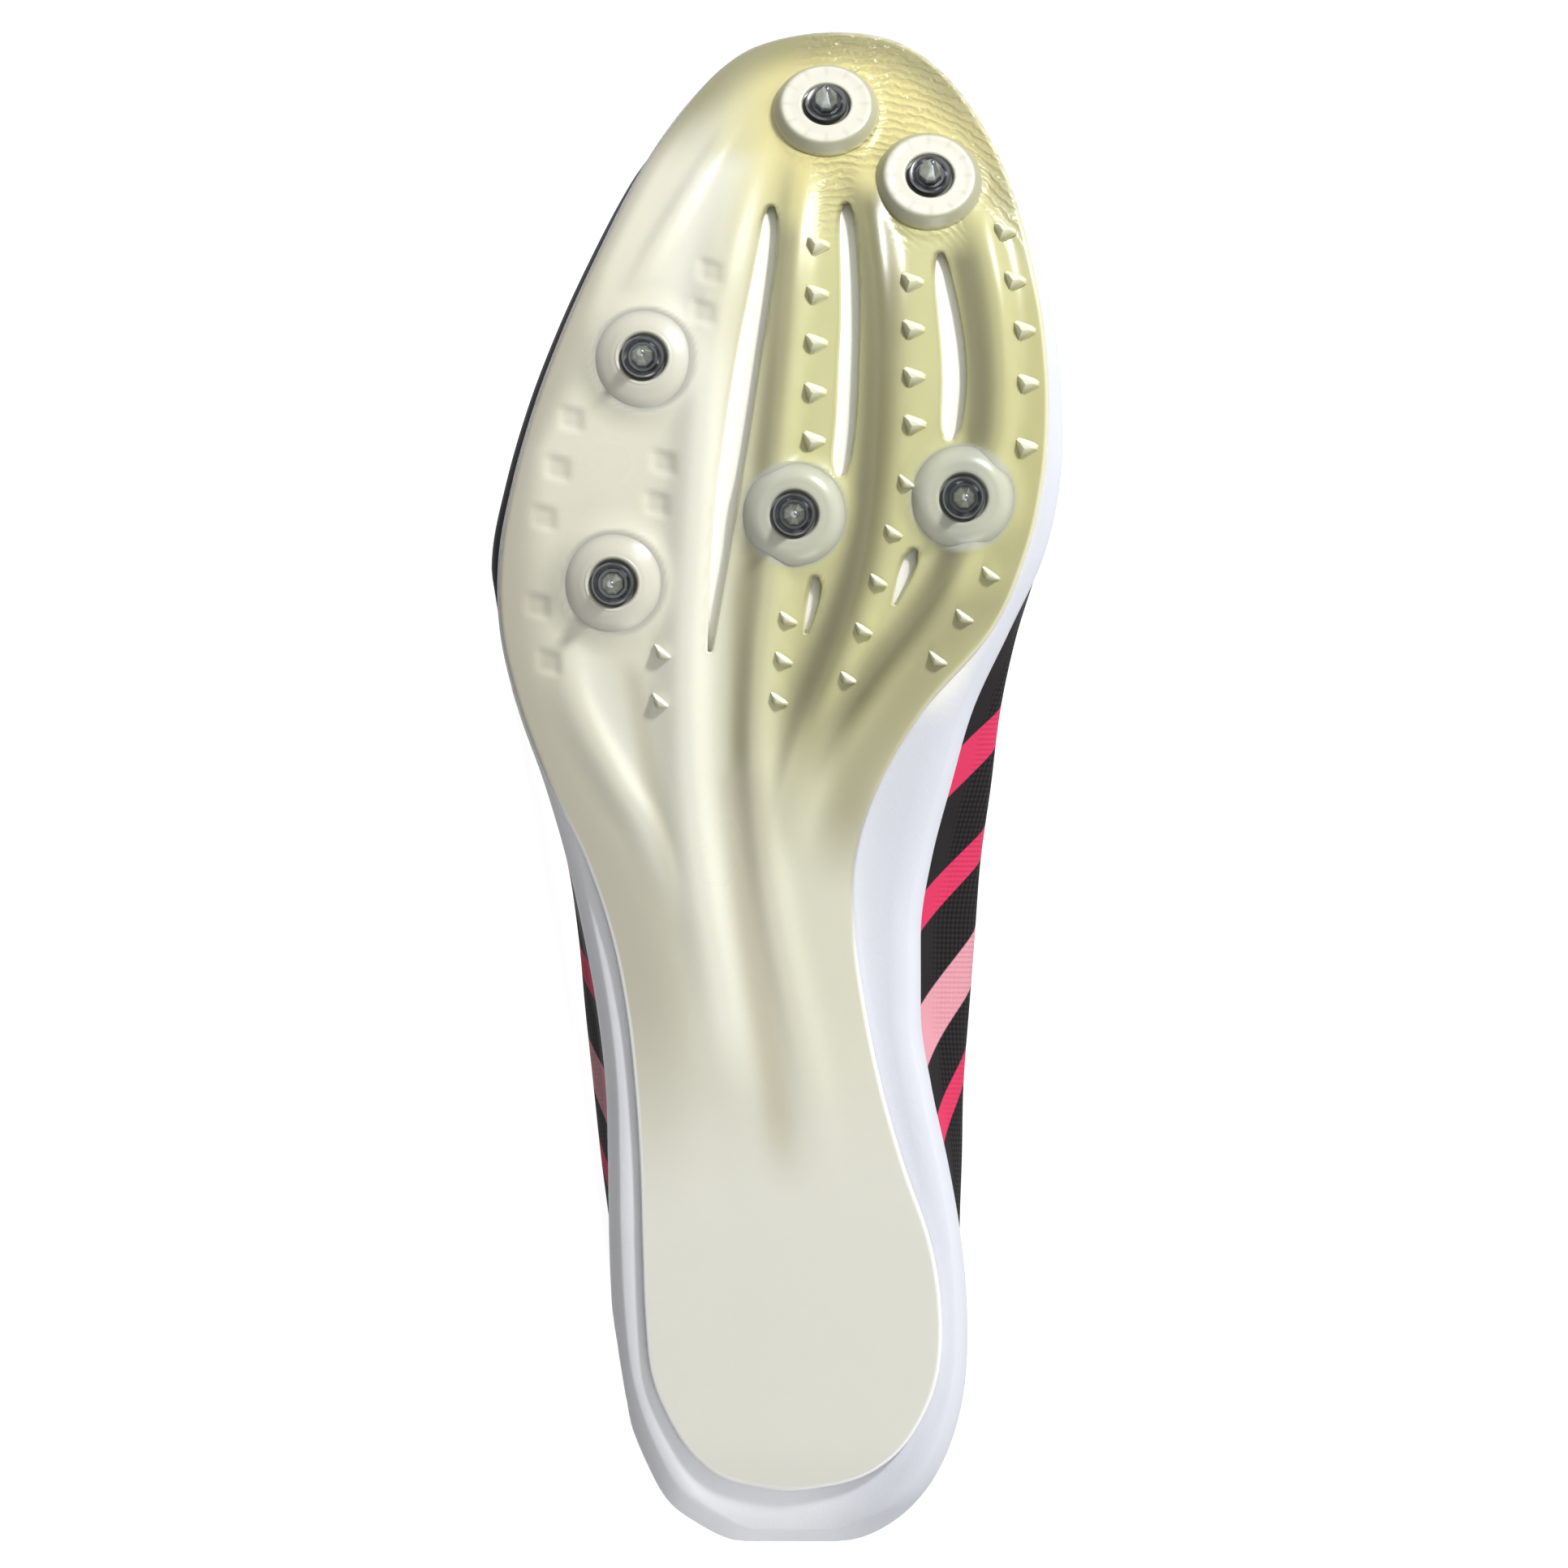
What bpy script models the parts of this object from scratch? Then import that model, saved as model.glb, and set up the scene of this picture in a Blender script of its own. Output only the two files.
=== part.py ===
"""A right-foot track spike shoe that lies on its lateral side, its sole facing -Y.

The shoe is modelled in its own frame: x from the back of the heel to the toe, y towards
the medial side, z up out of the sole, with z = 0 on the heel's ground face. The pieces
hang on the empty shoe_rest, which lays the shoe down on the floor, z = 0.
"""
from math import acos, cos, pi, sin

import bmesh
import bpy
import numpy as np
from mathutils import Matrix, Vector

# Driving sizes, metres
LENGTH = 0.280
BALL_WIDTH = 0.105
HEEL_HEIGHT = 0.072
INSTEP_HEIGHT = 0.082
HEEL_STACK = 0.0180
BALL_STACK = 0.0085
TOE_SPRING = 0.029
ARCH_RISE = 0.0035
HEEL_ROLL = 0.0050
PLATE_CROWN = 0.0025
GAP = 0.0003

# Plate, its slots, teeth and spike bosses
PLATE_THICKNESS = 0.0015
SLOT_WIDTH = 0.0034
TOOTH_LENGTH = 0.0052
TOOTH_WIDTH = 0.0026
TOOTH_HEIGHT = 0.0015
BOSS_RADIUS = 0.0098
BOSS_TOP_RADIUS = 0.0082
BOSS_HEIGHT = 0.0030
BOSS_ROOT = 0.0008
WELL_RADIUS = 0.0044
WELL_DEPTH = 0.0010
RIB_HEIGHT = 0.0016
RIB_HALF_WIDTH = 0.0048
PIN_COLLAR_RADIUS = 0.0039
PIN_COLLAR_HEIGHT = 0.0014
PIN_BASE_RADIUS = 0.0022
PIN_TIP_RADIUS = 0.0005
PIN_LENGTH = 0.0062

# Midsole, upper, insole, tongue and lace
FOAM_TUCK = 0.0024
FOAM_STEP = 0.0007
FOAM_TOP_INSET = 0.0010
UPPER_INSET = 0.0006
WALL = 0.0016
OVERLAY = 0.0007
GIRTH_RISE = 0.0150
FEATHER_HEIGHT = 0.0010
INSOLE_THICKNESS = 0.0040
INSOLE_CLEARANCE = 0.0006
TONGUE_THICKNESS = 0.0028
TONGUE_RADIUS = 0.045
TONGUE_BOW_REACH = 0.012
TONGUE_CLEARANCE = 0.0006
LACE_WIDTH = 0.0048
LACE_THICKNESS = 0.0013
LACE_CLEARANCE = 0.0005
LACE_LAYER = 0.0003
EYELET_PAIRS = 5

# How deep the floor presses flat spots into the sole's edge and the upper
FLOOR_PRESS = 0.0008

LATERAL, MEDIAL = -1, 1


class Table:
    """Rows of shares by station (0 at the heel, 1 at the toe), read as smooth curves.

    A table with round ends is interpolated along an angle, as an outline closes there.
    A flat stretch between two equal rows stays flat.
    """

    def __init__(self, columns, rows, round_ends=False):
        self.columns = columns.split()
        self.rows = np.array(rows)
        self.first, self.last = self.rows[0, 0], self.rows[-1, 0]
        self.round_ends = round_ends
        self.knots = np.array([self.travel(at) for at in self.rows[:, 0]])

    def travel(self, at):
        share = min(max((at - self.first) / (self.last - self.first), 0.0), 1.0)
        return acos(1 - 2 * share) / pi if self.round_ends else share

    def __call__(self, column, at):
        values = self.rows[:, self.columns.index(column)]
        t = self.travel(at)
        i = int(np.clip(np.searchsorted(self.knots, t) - 1, 0, len(values) - 2))
        step = np.diff(self.knots)
        rate = np.diff(values) / step

        def slope(k):
            if k == 0:
                return rate[0]
            if k == len(values) - 1:
                return rate[-1]
            if 0.0 in (rate[k - 1], rate[k]):
                return 0.0
            return (rate[k - 1] * step[k] + rate[k] * step[k - 1]) / (step[k - 1] + step[k])

        u = (t - self.knots[i]) / step[i]
        return float(
            values[i] * (1 + 2 * u) * (1 - u) ** 2 + slope(i) * step[i] * u * (1 - u) ** 2
            + values[i + 1] * u * u * (3 - 2 * u) - slope(i + 1) * step[i] * u * u * (1 - u))

    def stations(self, count):
        """Stations that crowd towards both ends, where the outline turns."""
        crowding = 0.8
        shares = [(1 - crowding) * k / count + crowding * (1 - cos(pi * k / count)) / 2
                  for k in range(count + 1)]
        return [self.first + (self.last - self.first) * share for share in shares]


# Side profile: shares of toe spring, arch rise, heel roll, heel stack over ball stack, crown
PROFILE = Table("at spring arch roll heel crown", (
    (0.00, 0.000, 0.00, 1.00, 1.00, 0.00),
    (0.02, 0.000, 0.00, 0.42, 1.00, 0.00),
    (0.05, 0.000, 0.00, 0.06, 1.00, 0.00),
    (0.08, 0.000, 0.00, 0.00, 1.00, 0.00),
    (0.20, 0.000, 0.00, 0.00, 0.98, 0.00),
    (0.28, 0.000, 0.25, 0.00, 0.90, 0.15),
    (0.36, 0.000, 0.75, 0.00, 0.72, 0.40),
    (0.44, 0.000, 1.00, 0.00, 0.50, 0.70),
    (0.52, 0.000, 0.75, 0.00, 0.30, 0.90),
    (0.60, 0.000, 0.28, 0.00, 0.14, 1.00),
    (0.66, 0.003, 0.05, 0.00, 0.06, 1.00),
    (0.72, 0.018, 0.00, 0.00, 0.02, 1.00),
    (0.78, 0.070, 0.00, 0.00, 0.00, 1.00),
    (0.84, 0.175, 0.00, 0.00, 0.00, 1.00),
    (0.90, 0.390, 0.00, 0.00, 0.00, 0.90),
    (0.95, 0.645, 0.00, 0.00, 0.00, 0.70),
    (1.00, 0.960, 0.00, 0.00, 0.00, 0.50)))

# Outlines from below: distance from the heel's axis as shares of the ball width
PLATE = Table("at lateral medial", (
    (0.035, -0.020, 0.046),
    (0.040, -0.085, 0.112),
    (0.055, -0.150, 0.186),
    (0.080, -0.198, 0.240),
    (0.110, -0.231, 0.271),
    (0.150, -0.243, 0.278),
    (0.200, -0.248, 0.258),
    (0.250, -0.252, 0.212),
    (0.300, -0.261, 0.174),
    (0.350, -0.276, 0.146),
    (0.400, -0.303, 0.127),
    (0.450, -0.348, 0.128),
    (0.500, -0.412, 0.170),
    (0.550, -0.463, 0.250),
    (0.600, -0.495, 0.366),
    (0.650, -0.496, 0.426),
    (0.700, -0.472, 0.457),
    (0.750, -0.434, 0.466),
    (0.800, -0.384, 0.458),
    (0.850, -0.324, 0.434),
    (0.900, -0.257, 0.396),
    (0.950, -0.168, 0.328),
    (0.975, -0.104, 0.268),
    (0.990, -0.042, 0.212),
    (0.996, 0.035, 0.150)), round_ends=True)

FOAM = Table("at lateral medial", (
    (0.000, -0.064, 0.091),
    (0.010, -0.141, 0.180),
    (0.025, -0.197, 0.230),
    (0.050, -0.237, 0.277),
    (0.100, -0.284, 0.318),
    (0.150, -0.300, 0.324),
    (0.200, -0.306, 0.313),
    (0.250, -0.308, 0.290),
    (0.300, -0.312, 0.261),
    (0.350, -0.327, 0.242),
    (0.400, -0.351, 0.242),
    (0.450, -0.381, 0.261),
    (0.500, -0.420, 0.296),
    (0.550, -0.467, 0.335),
    (0.600, -0.498, 0.397),
    (0.650, -0.500, 0.458),
    (0.700, -0.475, 0.487),
    (0.750, -0.437, 0.490),
    (0.800, -0.387, 0.477),
    (0.850, -0.327, 0.447),
    (0.900, -0.260, 0.404),
    (0.950, -0.171, 0.333),
    (0.975, -0.107, 0.274),
    (0.990, -0.050, 0.222),
    (1.000, 0.033, 0.155)), round_ends=True)

# The upper's sections: girth as shares of the ball width, the girth's height of GIRTH_RISE,
# the topline's station, sides and height (by heel and instep height), and the wall's bend:
# curl (how far it closes over), full (boxier below 1) and slope (straight climb to the throat)
UPPER = Table(
    "at girth_lateral girth_medial rise_lateral rise_medial top_at top_lateral top_medial by_heel by_instep"
    " curl full slope", (
        (0.000, -0.050, 0.077, 0.90, 0.90, 0.034, -0.040, 0.066, 1.00, 0.00, 0.50, 1.00, 0.00),
        (0.010, -0.128, 0.167, 0.90, 0.90, 0.039, -0.100, 0.128, 1.00, 0.00, 0.50, 1.00, 0.00),
        (0.025, -0.184, 0.217, 0.90, 0.90, 0.050, -0.150, 0.180, 0.99, 0.00, 0.50, 1.00, 0.00),
        (0.050, -0.225, 0.265, 0.92, 0.92, 0.071, -0.194, 0.226, 0.94, 0.01, 0.50, 1.00, 0.00),
        (0.100, -0.274, 0.308, 0.95, 0.95, 0.112, -0.228, 0.258, 0.80, 0.04, 0.50, 1.00, 0.00),
        (0.150, -0.292, 0.316, 0.98, 0.98, 0.154, -0.240, 0.264, 0.60, 0.15, 0.52, 1.00, 0.00),
        (0.200, -0.306, 0.313, 1.00, 1.00, 0.200, -0.243, 0.262, 0.42, 0.28, 0.55, 1.00, 0.00),
        (0.250, -0.323, 0.317, 1.00, 1.00, 0.250, -0.240, 0.257, 0.28, 0.43, 0.60, 1.00, 0.00),
        (0.300, -0.337, 0.320, 0.98, 1.00, 0.300, -0.227, 0.250, 0.15, 0.62, 0.68, 1.00, 0.00),
        (0.350, -0.351, 0.330, 0.90, 0.98, 0.350, -0.202, 0.238, 0.05, 0.84, 0.78, 1.00, 0.00),
        (0.400, -0.363, 0.340, 0.74, 0.95, 0.395, -0.166, 0.212, 0.00, 0.98, 0.88, 1.00, 0.00),
        (0.450, -0.383, 0.350, 0.56, 0.90, 0.430, -0.122, 0.167, 0.00, 1.00, 0.96, 0.99, 0.00),
        (0.500, -0.420, 0.368, 0.42, 0.82, 0.475, -0.100, 0.145, 0.00, 0.94, 1.00, 0.97, 0.00),
        (0.550, -0.467, 0.384, 0.33, 0.75, 0.525, -0.092, 0.137, 0.00, 0.87, 1.00, 0.94, 0.00),
        (0.600, -0.503, 0.412, 0.28, 0.68, 0.575, -0.086, 0.131, 0.00, 0.81, 1.00, 0.91, 0.02),
        (0.650, -0.513, 0.452, 0.26, 0.62, 0.620, -0.080, 0.125, 0.00, 0.765, 1.00, 0.89, 0.05),
        (0.700, -0.488, 0.478, 0.26, 0.58, 0.655, -0.069, 0.114, 0.00, 0.735, 1.00, 0.88, 0.10),
        (0.750, -0.450, 0.480, 0.27, 0.55, 0.677, -0.054, 0.099, 0.00, 0.72, 1.00, 0.87, 0.15),
        (0.800, -0.400, 0.467, 0.29, 0.52, 0.690, -0.038, 0.083, 0.00, 0.712, 1.00, 0.86, 0.20),
        (0.850, -0.340, 0.437, 0.32, 0.50, 0.698, -0.023, 0.068, 0.00, 0.707, 1.00, 0.84, 0.25),
        (0.900, -0.271, 0.394, 0.35, 0.47, 0.702, -0.009, 0.054, 0.00, 0.704, 1.00, 0.82, 0.28),
        (0.950, -0.177, 0.323, 0.37, 0.43, 0.705, 0.004, 0.041, 0.00, 0.702, 1.00, 0.80, 0.30),
        (0.975, -0.110, 0.264, 0.37, 0.40, 0.706, 0.010, 0.035, 0.00, 0.701, 1.00, 0.80, 0.30),
        (0.990, -0.052, 0.212, 0.37, 0.38, 0.706, 0.015, 0.030, 0.00, 0.70, 1.00, 0.80, 0.30),
        (1.000, 0.037, 0.147, 0.37, 0.37, 0.706, 0.020, 0.025, 0.00, 0.70, 1.00, 0.80, 0.30)),
    round_ends=True)

# The tongue: half width as a share of the ball width, drop under the throat's edge and
# rise over it as shares of the instep height
TONGUE = Table("at half drop rise", (
    (0.345, 0.150, 0.000, 0.200),
    (0.350, 0.196, 0.000, 0.185),
    (0.362, 0.206, 0.000, 0.145),
    (0.380, 0.190, 0.000, 0.080),
    (0.400, 0.170, 0.004, 0.026),
    (0.430, 0.158, 0.006, 0.000),
    (0.480, 0.170, 0.006, 0.000),
    (0.560, 0.170, 0.006, 0.000),
    (0.620, 0.155, 0.008, 0.000),
    (0.680, 0.135, 0.014, 0.000),
    (0.730, 0.110, 0.050, 0.000)))

# Moulded ribs: shares of RIB_HEIGHT and RIB_HALF_WIDTH, then station and side of each point
RIBS = (
    ("lateral", 0.75, 0.83, ((0.66, -0.400), (0.58, -0.375), (0.49, -0.250), (0.40, -0.190))),
    ("broad", 1.00, 1.00, ((0.93, -0.150), (0.84, -0.175), (0.75, -0.165), (0.65, -0.150),
                           (0.54, -0.150), (0.43, -0.120), (0.33, -0.110))),
    ("middle", 0.75, 0.67, ((0.66, 0.020), (0.54, -0.007), (0.43, -0.020), (0.30, 0.040))),
    ("inner", 0.94, 0.75, ((0.88, 0.150), (0.79, 0.160), (0.70, 0.157), (0.60, 0.105),
                           (0.54, 0.040), (0.46, 0.010))),
    ("medial", 0.94, 0.88, ((0.88, 0.340), (0.80, 0.362), (0.74, 0.365), (0.66, 0.290),
                            (0.58, 0.190), (0.52, 0.085), (0.44, 0.030))))
RIB_FADE = 0.05

# Slots through the plate: width as a share of SLOT_WIDTH, then station and side
SLOTS = (
    ("long_lateral", 1.00, ((0.875, -0.026), (0.830, -0.048), (0.777, -0.070), (0.724, -0.096),
                            (0.650, -0.113), (0.584, -0.130))),
    ("long_middle", 1.00, ((0.880, 0.108), (0.845, 0.113), (0.800, 0.116), (0.750, 0.110),
                           (0.708, 0.100))),
    ("long_medial", 1.10, ((0.848, 0.275), (0.810, 0.288), (0.777, 0.296), (0.731, 0.293))),
    ("short_middle", 0.60, ((0.632, 0.054), (0.616, 0.046), (0.601, 0.038))),
    ("short_medial", 0.70, ((0.652, 0.222), (0.636, 0.208), (0.620, 0.193))))
SLOT_END_TAPER = 0.7

# Spike bosses: station and side
SPIKES = (
    ("1", 0.944, 0.076),
    ("2", 0.897, 0.256),
    ("3", 0.779, -0.244),
    ("4", 0.632, -0.297),
    ("5", 0.677, 0.019),
    ("6", 0.688, 0.314))

# Rows of grip teeth: station and side of the first and the last one, and how many
TOOTH_ROWS = (
    (0.853, 0.057, 0.724, 0.050, 5),
    (0.829, 0.222, 0.735, 0.226, 4),
    (0.697, 0.214, 0.569, 0.110, 5),
    (0.862, 0.385, 0.797, 0.418, 3),
    (0.762, 0.424, 0.720, 0.422, 2),
    (0.637, 0.360, 0.581, 0.268, 3),
    (0.608, 0.004, 0.555, -0.012, 3),
    (0.837, -0.128, 0.810, -0.140, 2),
    (0.740, -0.372, 0.675, -0.420, 3),
    (0.617, -0.432, 0.580, -0.412, 2),
    (0.711, -0.210, 0.684, -0.222, 2),
    (0.585, -0.212, 0.553, -0.216, 2))

# Density by piece, kg per cubic metre, to find how the shoe comes to rest
DENSITY = {"outsole_plate": 1100, "midsole": 220, "upper": 400, "insole": 200,
           "tongue": 300, "lace": 600, "pin": 7800}


def ground(x, y):
    """The plate's ground face without its ribs."""
    at = x / LENGTH
    lateral, medial = (FOAM(side, at) * BALL_WIDTH for side in ("lateral", "medial"))
    across = min(abs(2 * y - lateral - medial) / (medial - lateral), 1.0)
    return (TOE_SPRING * PROFILE("spring", at) + ARCH_RISE * PROFILE("arch", at)
            + HEEL_ROLL * PROFILE("roll", at) + PLATE_CROWN * PROFILE("crown", at) * across ** 2)


def footbed(x):
    """The midsole's top."""
    at = x / LENGTH
    return (TOE_SPRING * PROFILE("spring", at) + ARCH_RISE * PROFILE("arch", at)
            + BALL_STACK + (HEEL_STACK - BALL_STACK) * PROFILE("heel", at))


def plate_normal(x, y):
    """The direction out of the plate, towards the ground."""
    reach = 0.002
    along = (ground(x + reach, y) - ground(x - reach, y)) / (2 * reach)
    across = (ground(x, y + reach) - ground(x, y - reach)) / (2 * reach)
    return Vector((along, across, -1.0)).normalized()


def side_at(points, at):
    """The side of a rib or slot at a station, between its points."""
    stations = [point[0] for point in points][::-1]
    sides = [point[1] for point in points][::-1]
    return float(np.interp(at, stations, sides))


def relief(x, y):
    """How far the ribs stand out of the plate."""
    at = x / LENGTH
    height = 0.0
    for _, height_share, width_share, points in RIBS:
        inside = min(points[0][0] - at, at - points[-1][0])
        fade = min(max(inside / RIB_FADE, 0.0), 1.0)
        away = (y - side_at(points, at) * BALL_WIDTH) / (RIB_HALF_WIDTH * width_share)
        swell = fade * fade * (3 - 2 * fade) * float(np.exp(-away * away))
        height = max(height, RIB_HEIGHT * height_share * swell)
    return height


def outline_point(table, prefix, side, at, inset=0.0):
    """A plan point of an outline, moved in from its edge."""
    name = prefix + ("lateral" if side == LATERAL else "medial")
    middle = LENGTH / 2
    x = middle + (at * LENGTH - middle) * (1 - inset / middle)
    return x, table(name, at) * BALL_WIDTH - side * inset


def footbed_up(x):
    """The direction up from the footbed."""
    reach = 0.002
    rise = (footbed(x + reach) - footbed(x - reach)) / (2 * reach)
    return Vector((-rise, 0.0, 1.0)).normalized()


def feather(side, at):
    """Where the upper's inner face meets the midsole."""
    x, y = outline_point(FOAM, "", side, at, FOAM_TOP_INSET + UPPER_INSET + WALL)
    return Vector((x, y, footbed(x) + GAP))


def girth(side, at):
    """The widest line of the upper's inner face."""
    x, y = outline_point(UPPER, "girth_", side, at, WALL)
    name = "rise_lateral" if side == LATERAL else "rise_medial"
    return Vector((x, y, footbed(x) + GIRTH_RISE * UPPER(name, at)))


def topline(side, at):
    """The upper's inner edge at the collar and throat."""
    name = "top_lateral" if side == LATERAL else "top_medial"
    height = HEEL_HEIGHT * UPPER("by_heel", at) + INSTEP_HEIGHT * UPPER("by_instep", at)
    return Vector((UPPER("top_at", at) * LENGTH, UPPER(name, at) * BALL_WIDTH, height))


def over_wall(side, at, share):
    """A point on the upper's inner face, 0 at the girth and 1 at the topline."""
    low, high = girth(side, at), topline(side, at)
    full, slope = UPPER("full", at), UPPER("slope", at)
    end = UPPER("curl", at) * pi / 2
    turn = share * end
    inward = (1 - max(cos(turn), 0.0) ** full) / (1 - max(cos(end), 0.0) ** full)
    climb = (sin(turn) / sin(end)) ** full
    climb = (1 - slope) * climb + slope * inward
    return Vector((low.x + (high.x - low.x) * inward, low.y + (high.y - low.y) * inward,
                   low.z + (high.z - low.z) * climb))


def under_wall(side, at, share):
    """A point on the upper's inner face, 0 just over the feather line and 1 at the girth."""
    foot = feather(side, at)
    low = foot + footbed_up(foot.x) * FEATHER_HEIGHT
    high = girth(side, at)
    out = (1 - cos(pi * share)) / 2
    return Vector((low.x + (high.x - low.x) * out, low.y + (high.y - low.y) * out,
                   low.z + (high.z - low.z) * share))


def wall_out(side, at, share):
    """The direction out of the upper's wall."""
    reach = 0.01
    along = over_wall(side, at + reach, share) - over_wall(side, at - reach, share)
    up = over_wall(side, at, min(share + reach, 1.0)) - over_wall(side, at, share - reach)
    return along.cross(up).normalized() * -side


def collection(name):
    made = bpy.data.collections.new(name)
    bpy.context.scene.collection.children.link(made)
    return made


def material(name, colour, roughness, metallic=0.0):
    made = bpy.data.materials.new(name)
    made.use_nodes = True
    shader = made.node_tree.nodes["Principled BSDF"]
    shader.inputs["Base Color"].default_value = (*colour, 1.0)
    shader.inputs["Roughness"].default_value = roughness
    shader.inputs["Metallic"].default_value = metallic
    return made


def add_object(name, points, faces, home, finish=None):
    """A mesh object from points and faces, with its faces turned out where it is closed."""
    mesh = bpy.data.meshes.new(name)
    mesh.from_pydata([tuple(point) for point in points], [], faces)
    form = bmesh.new()
    form.from_mesh(mesh)
    if all(len(edge.link_faces) == 2 for edge in form.edges):
        bmesh.ops.recalc_face_normals(form, faces=form.faces)
    form.to_mesh(mesh)
    form.free()
    mesh.shade_smooth()
    mesh.set_sharp_from_angle(angle=pi / 5)
    made = bpy.data.objects.new(name, mesh)
    if finish:
        mesh.materials.append(finish)
    home.objects.link(made)
    return made


def loft(name, sections, home, finish=None, cap=None):
    """A closed solid through closed sections of equal length, capped at both ends."""
    size = len(sections[0])
    points = [point for section in sections for point in section]
    faces = []
    for i in range(len(sections) - 1):
        for k in range(size):
            after = (k + 1) % size
            faces.append((i * size + k, i * size + after,
                          (i + 1) * size + after, (i + 1) * size + k))
    last = (len(sections) - 1) * size
    for face in cap or [range(size)]:
        faces.append([k for k in face][::-1])
        faces.append([last + k for k in face])
    return add_object(name, points, faces, home, finish)


def strip_cap(side, top, size):
    """Cap faces for a section that runs up one side, over the top and down the other side."""
    def opposite(k):
        return 2 * side + top - 1 - k

    faces = [[0, 1, *range(opposite(1), size)]]
    faces += [[k, k + 1, opposite(k + 1), opposite(k)] for k in range(1, side - 2)]
    return faces + [range(side - 2, opposite(side - 2) + 1)]


def combine(target, tool, operation, self_crossing=False):
    """An exact Boolean of the target with a hidden tool, whose own bodies may cross."""
    tool.hide_render = True
    tool.display_type = "WIRE"
    step = target.modifiers.new(tool.name, "BOOLEAN")
    step.object = tool
    step.operation = operation
    step.solver = "EXACT"
    step.use_self = self_crossing


def between(first, last, count):
    return [first + (last - first) * k / count for k in range(count + 1)]


def plate_frame(x, y, depth=0.0):
    """Places a piece on the plate: its z out of the plate, its x towards the toe."""
    out = plate_normal(x, y)
    toe = Vector((1.0, 0.0, 0.0))
    toe = (toe - out * toe.dot(out)).normalized()
    place = Matrix((toe, out.cross(toe), out)).transposed().to_4x4()
    place.translation = Vector((x, y, ground(x, y))) - out * depth
    return place


def build_plate(home, tools, finish):
    """The moulded spike plate with ribs, bosses, teeth and slots."""
    sections = []
    for at in PLATE.stations(40):
        x, lateral = outline_point(PLATE, "", LATERAL, at)
        _, medial = outline_point(PLATE, "", MEDIAL, at)
        sides = between(lateral, medial, 16)
        low = [(x, y, ground(x, y) - relief(x, y)) for y in sides]
        high = [(x, y, ground(x, y) + PLATE_THICKNESS) for y in sides[::4]]
        sections.append(low + high[::-1])
    plate = loft("outsole_plate", sections, home, finish)
    combine(plate, build_studs(tools), "UNION", self_crossing=True)
    combine(plate, build_cuts(tools), "DIFFERENCE")
    return plate


def build_studs(tools):
    """Bosses and teeth, one tool for the plate."""
    form = bmesh.new()
    for _, at, side in SPIKES:
        place = plate_frame(at * LENGTH, side * BALL_WIDTH, BOSS_ROOT)
        bmesh.ops.create_cone(
            form, cap_ends=True, segments=16, radius1=BOSS_RADIUS, radius2=BOSS_TOP_RADIUS,
            depth=BOSS_HEIGHT + BOSS_ROOT,
            matrix=place @ Matrix.Translation((0, 0, (BOSS_HEIGHT + BOSS_ROOT) / 2)))
    for first_at, first_side, last_at, last_side, count in TOOTH_ROWS:
        for k in range(count):
            share = k / (count - 1)
            x = (first_at + (last_at - first_at) * share) * LENGTH
            y = (first_side + (last_side - first_side) * share) * BALL_WIDTH
            reach = relief(x, y) + TOOTH_HEIGHT
            place = plate_frame(x, y, BOSS_ROOT)
            shape = Matrix.Diagonal((TOOTH_LENGTH, TOOTH_WIDTH, 1.0, 1.0))
            bmesh.ops.create_cone(
                form, cap_ends=True, segments=4, radius1=0.5, radius2=0.12, depth=reach + BOSS_ROOT,
                matrix=place @ Matrix.Translation((0, 0, (reach + BOSS_ROOT) / 2)) @ shape)
    mesh = bpy.data.meshes.new("studs")
    form.to_mesh(mesh)
    form.free()
    studs = bpy.data.objects.new("studs", mesh)
    tools.objects.link(studs)
    return studs


def build_cuts(tools):
    """The slots through the plate and the wells for the spike pins, one tool."""
    form = bmesh.new()
    for _, at, side in SPIKES:
        place = plate_frame(at * LENGTH, side * BALL_WIDTH)
        bmesh.ops.create_cone(
            form, cap_ends=True, segments=16, radius1=WELL_RADIUS, radius2=WELL_RADIUS,
            depth=2 * WELL_DEPTH, matrix=place @ Matrix.Translation((0, 0, BOSS_HEIGHT)))
    for _, width, points in SLOTS:
        route = [Vector((at * LENGTH, side * BALL_WIDTH, 0.0)) for at, side in points]
        half = width * SLOT_WIDTH / 2
        left, right = [], []
        for k, point in enumerate(route):
            ahead = (route[min(k + 1, len(route) - 1)] - route[max(k - 1, 0)]).normalized()
            across = Vector((-ahead.y, ahead.x, 0.0))
            reach = half * (SLOT_END_TAPER if k in (0, len(route) - 1) else 1.0)
            left.append(point + across * reach)
            right.append(point - across * reach)
        first = route[0] + (route[0] - route[1]).normalized() * half * 0.6
        last = route[-1] + (route[-1] - route[-2]).normalized() * half * 0.6
        ring = [first, *left, last, *right[::-1]]
        low = min(ground(point.x, point.y) for point in ring) - 2 * TOOTH_HEIGHT - PLATE_THICKNESS
        high = max(ground(point.x, point.y) for point in ring) + 3 * PLATE_THICKNESS
        verts = [form.verts.new((point.x, point.y, low)) for point in ring]
        face = form.faces.new(verts)
        raised = bmesh.ops.extrude_face_region(form, geom=[face])["geom"]
        for item in raised:
            if isinstance(item, bmesh.types.BMVert):
                item.co.z = high
    bmesh.ops.recalc_face_normals(form, faces=form.faces)
    mesh = bpy.data.meshes.new("cuts")
    form.to_mesh(mesh)
    form.free()
    cuts = bpy.data.objects.new("cuts", mesh)
    tools.objects.link(cuts)
    return cuts


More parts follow.
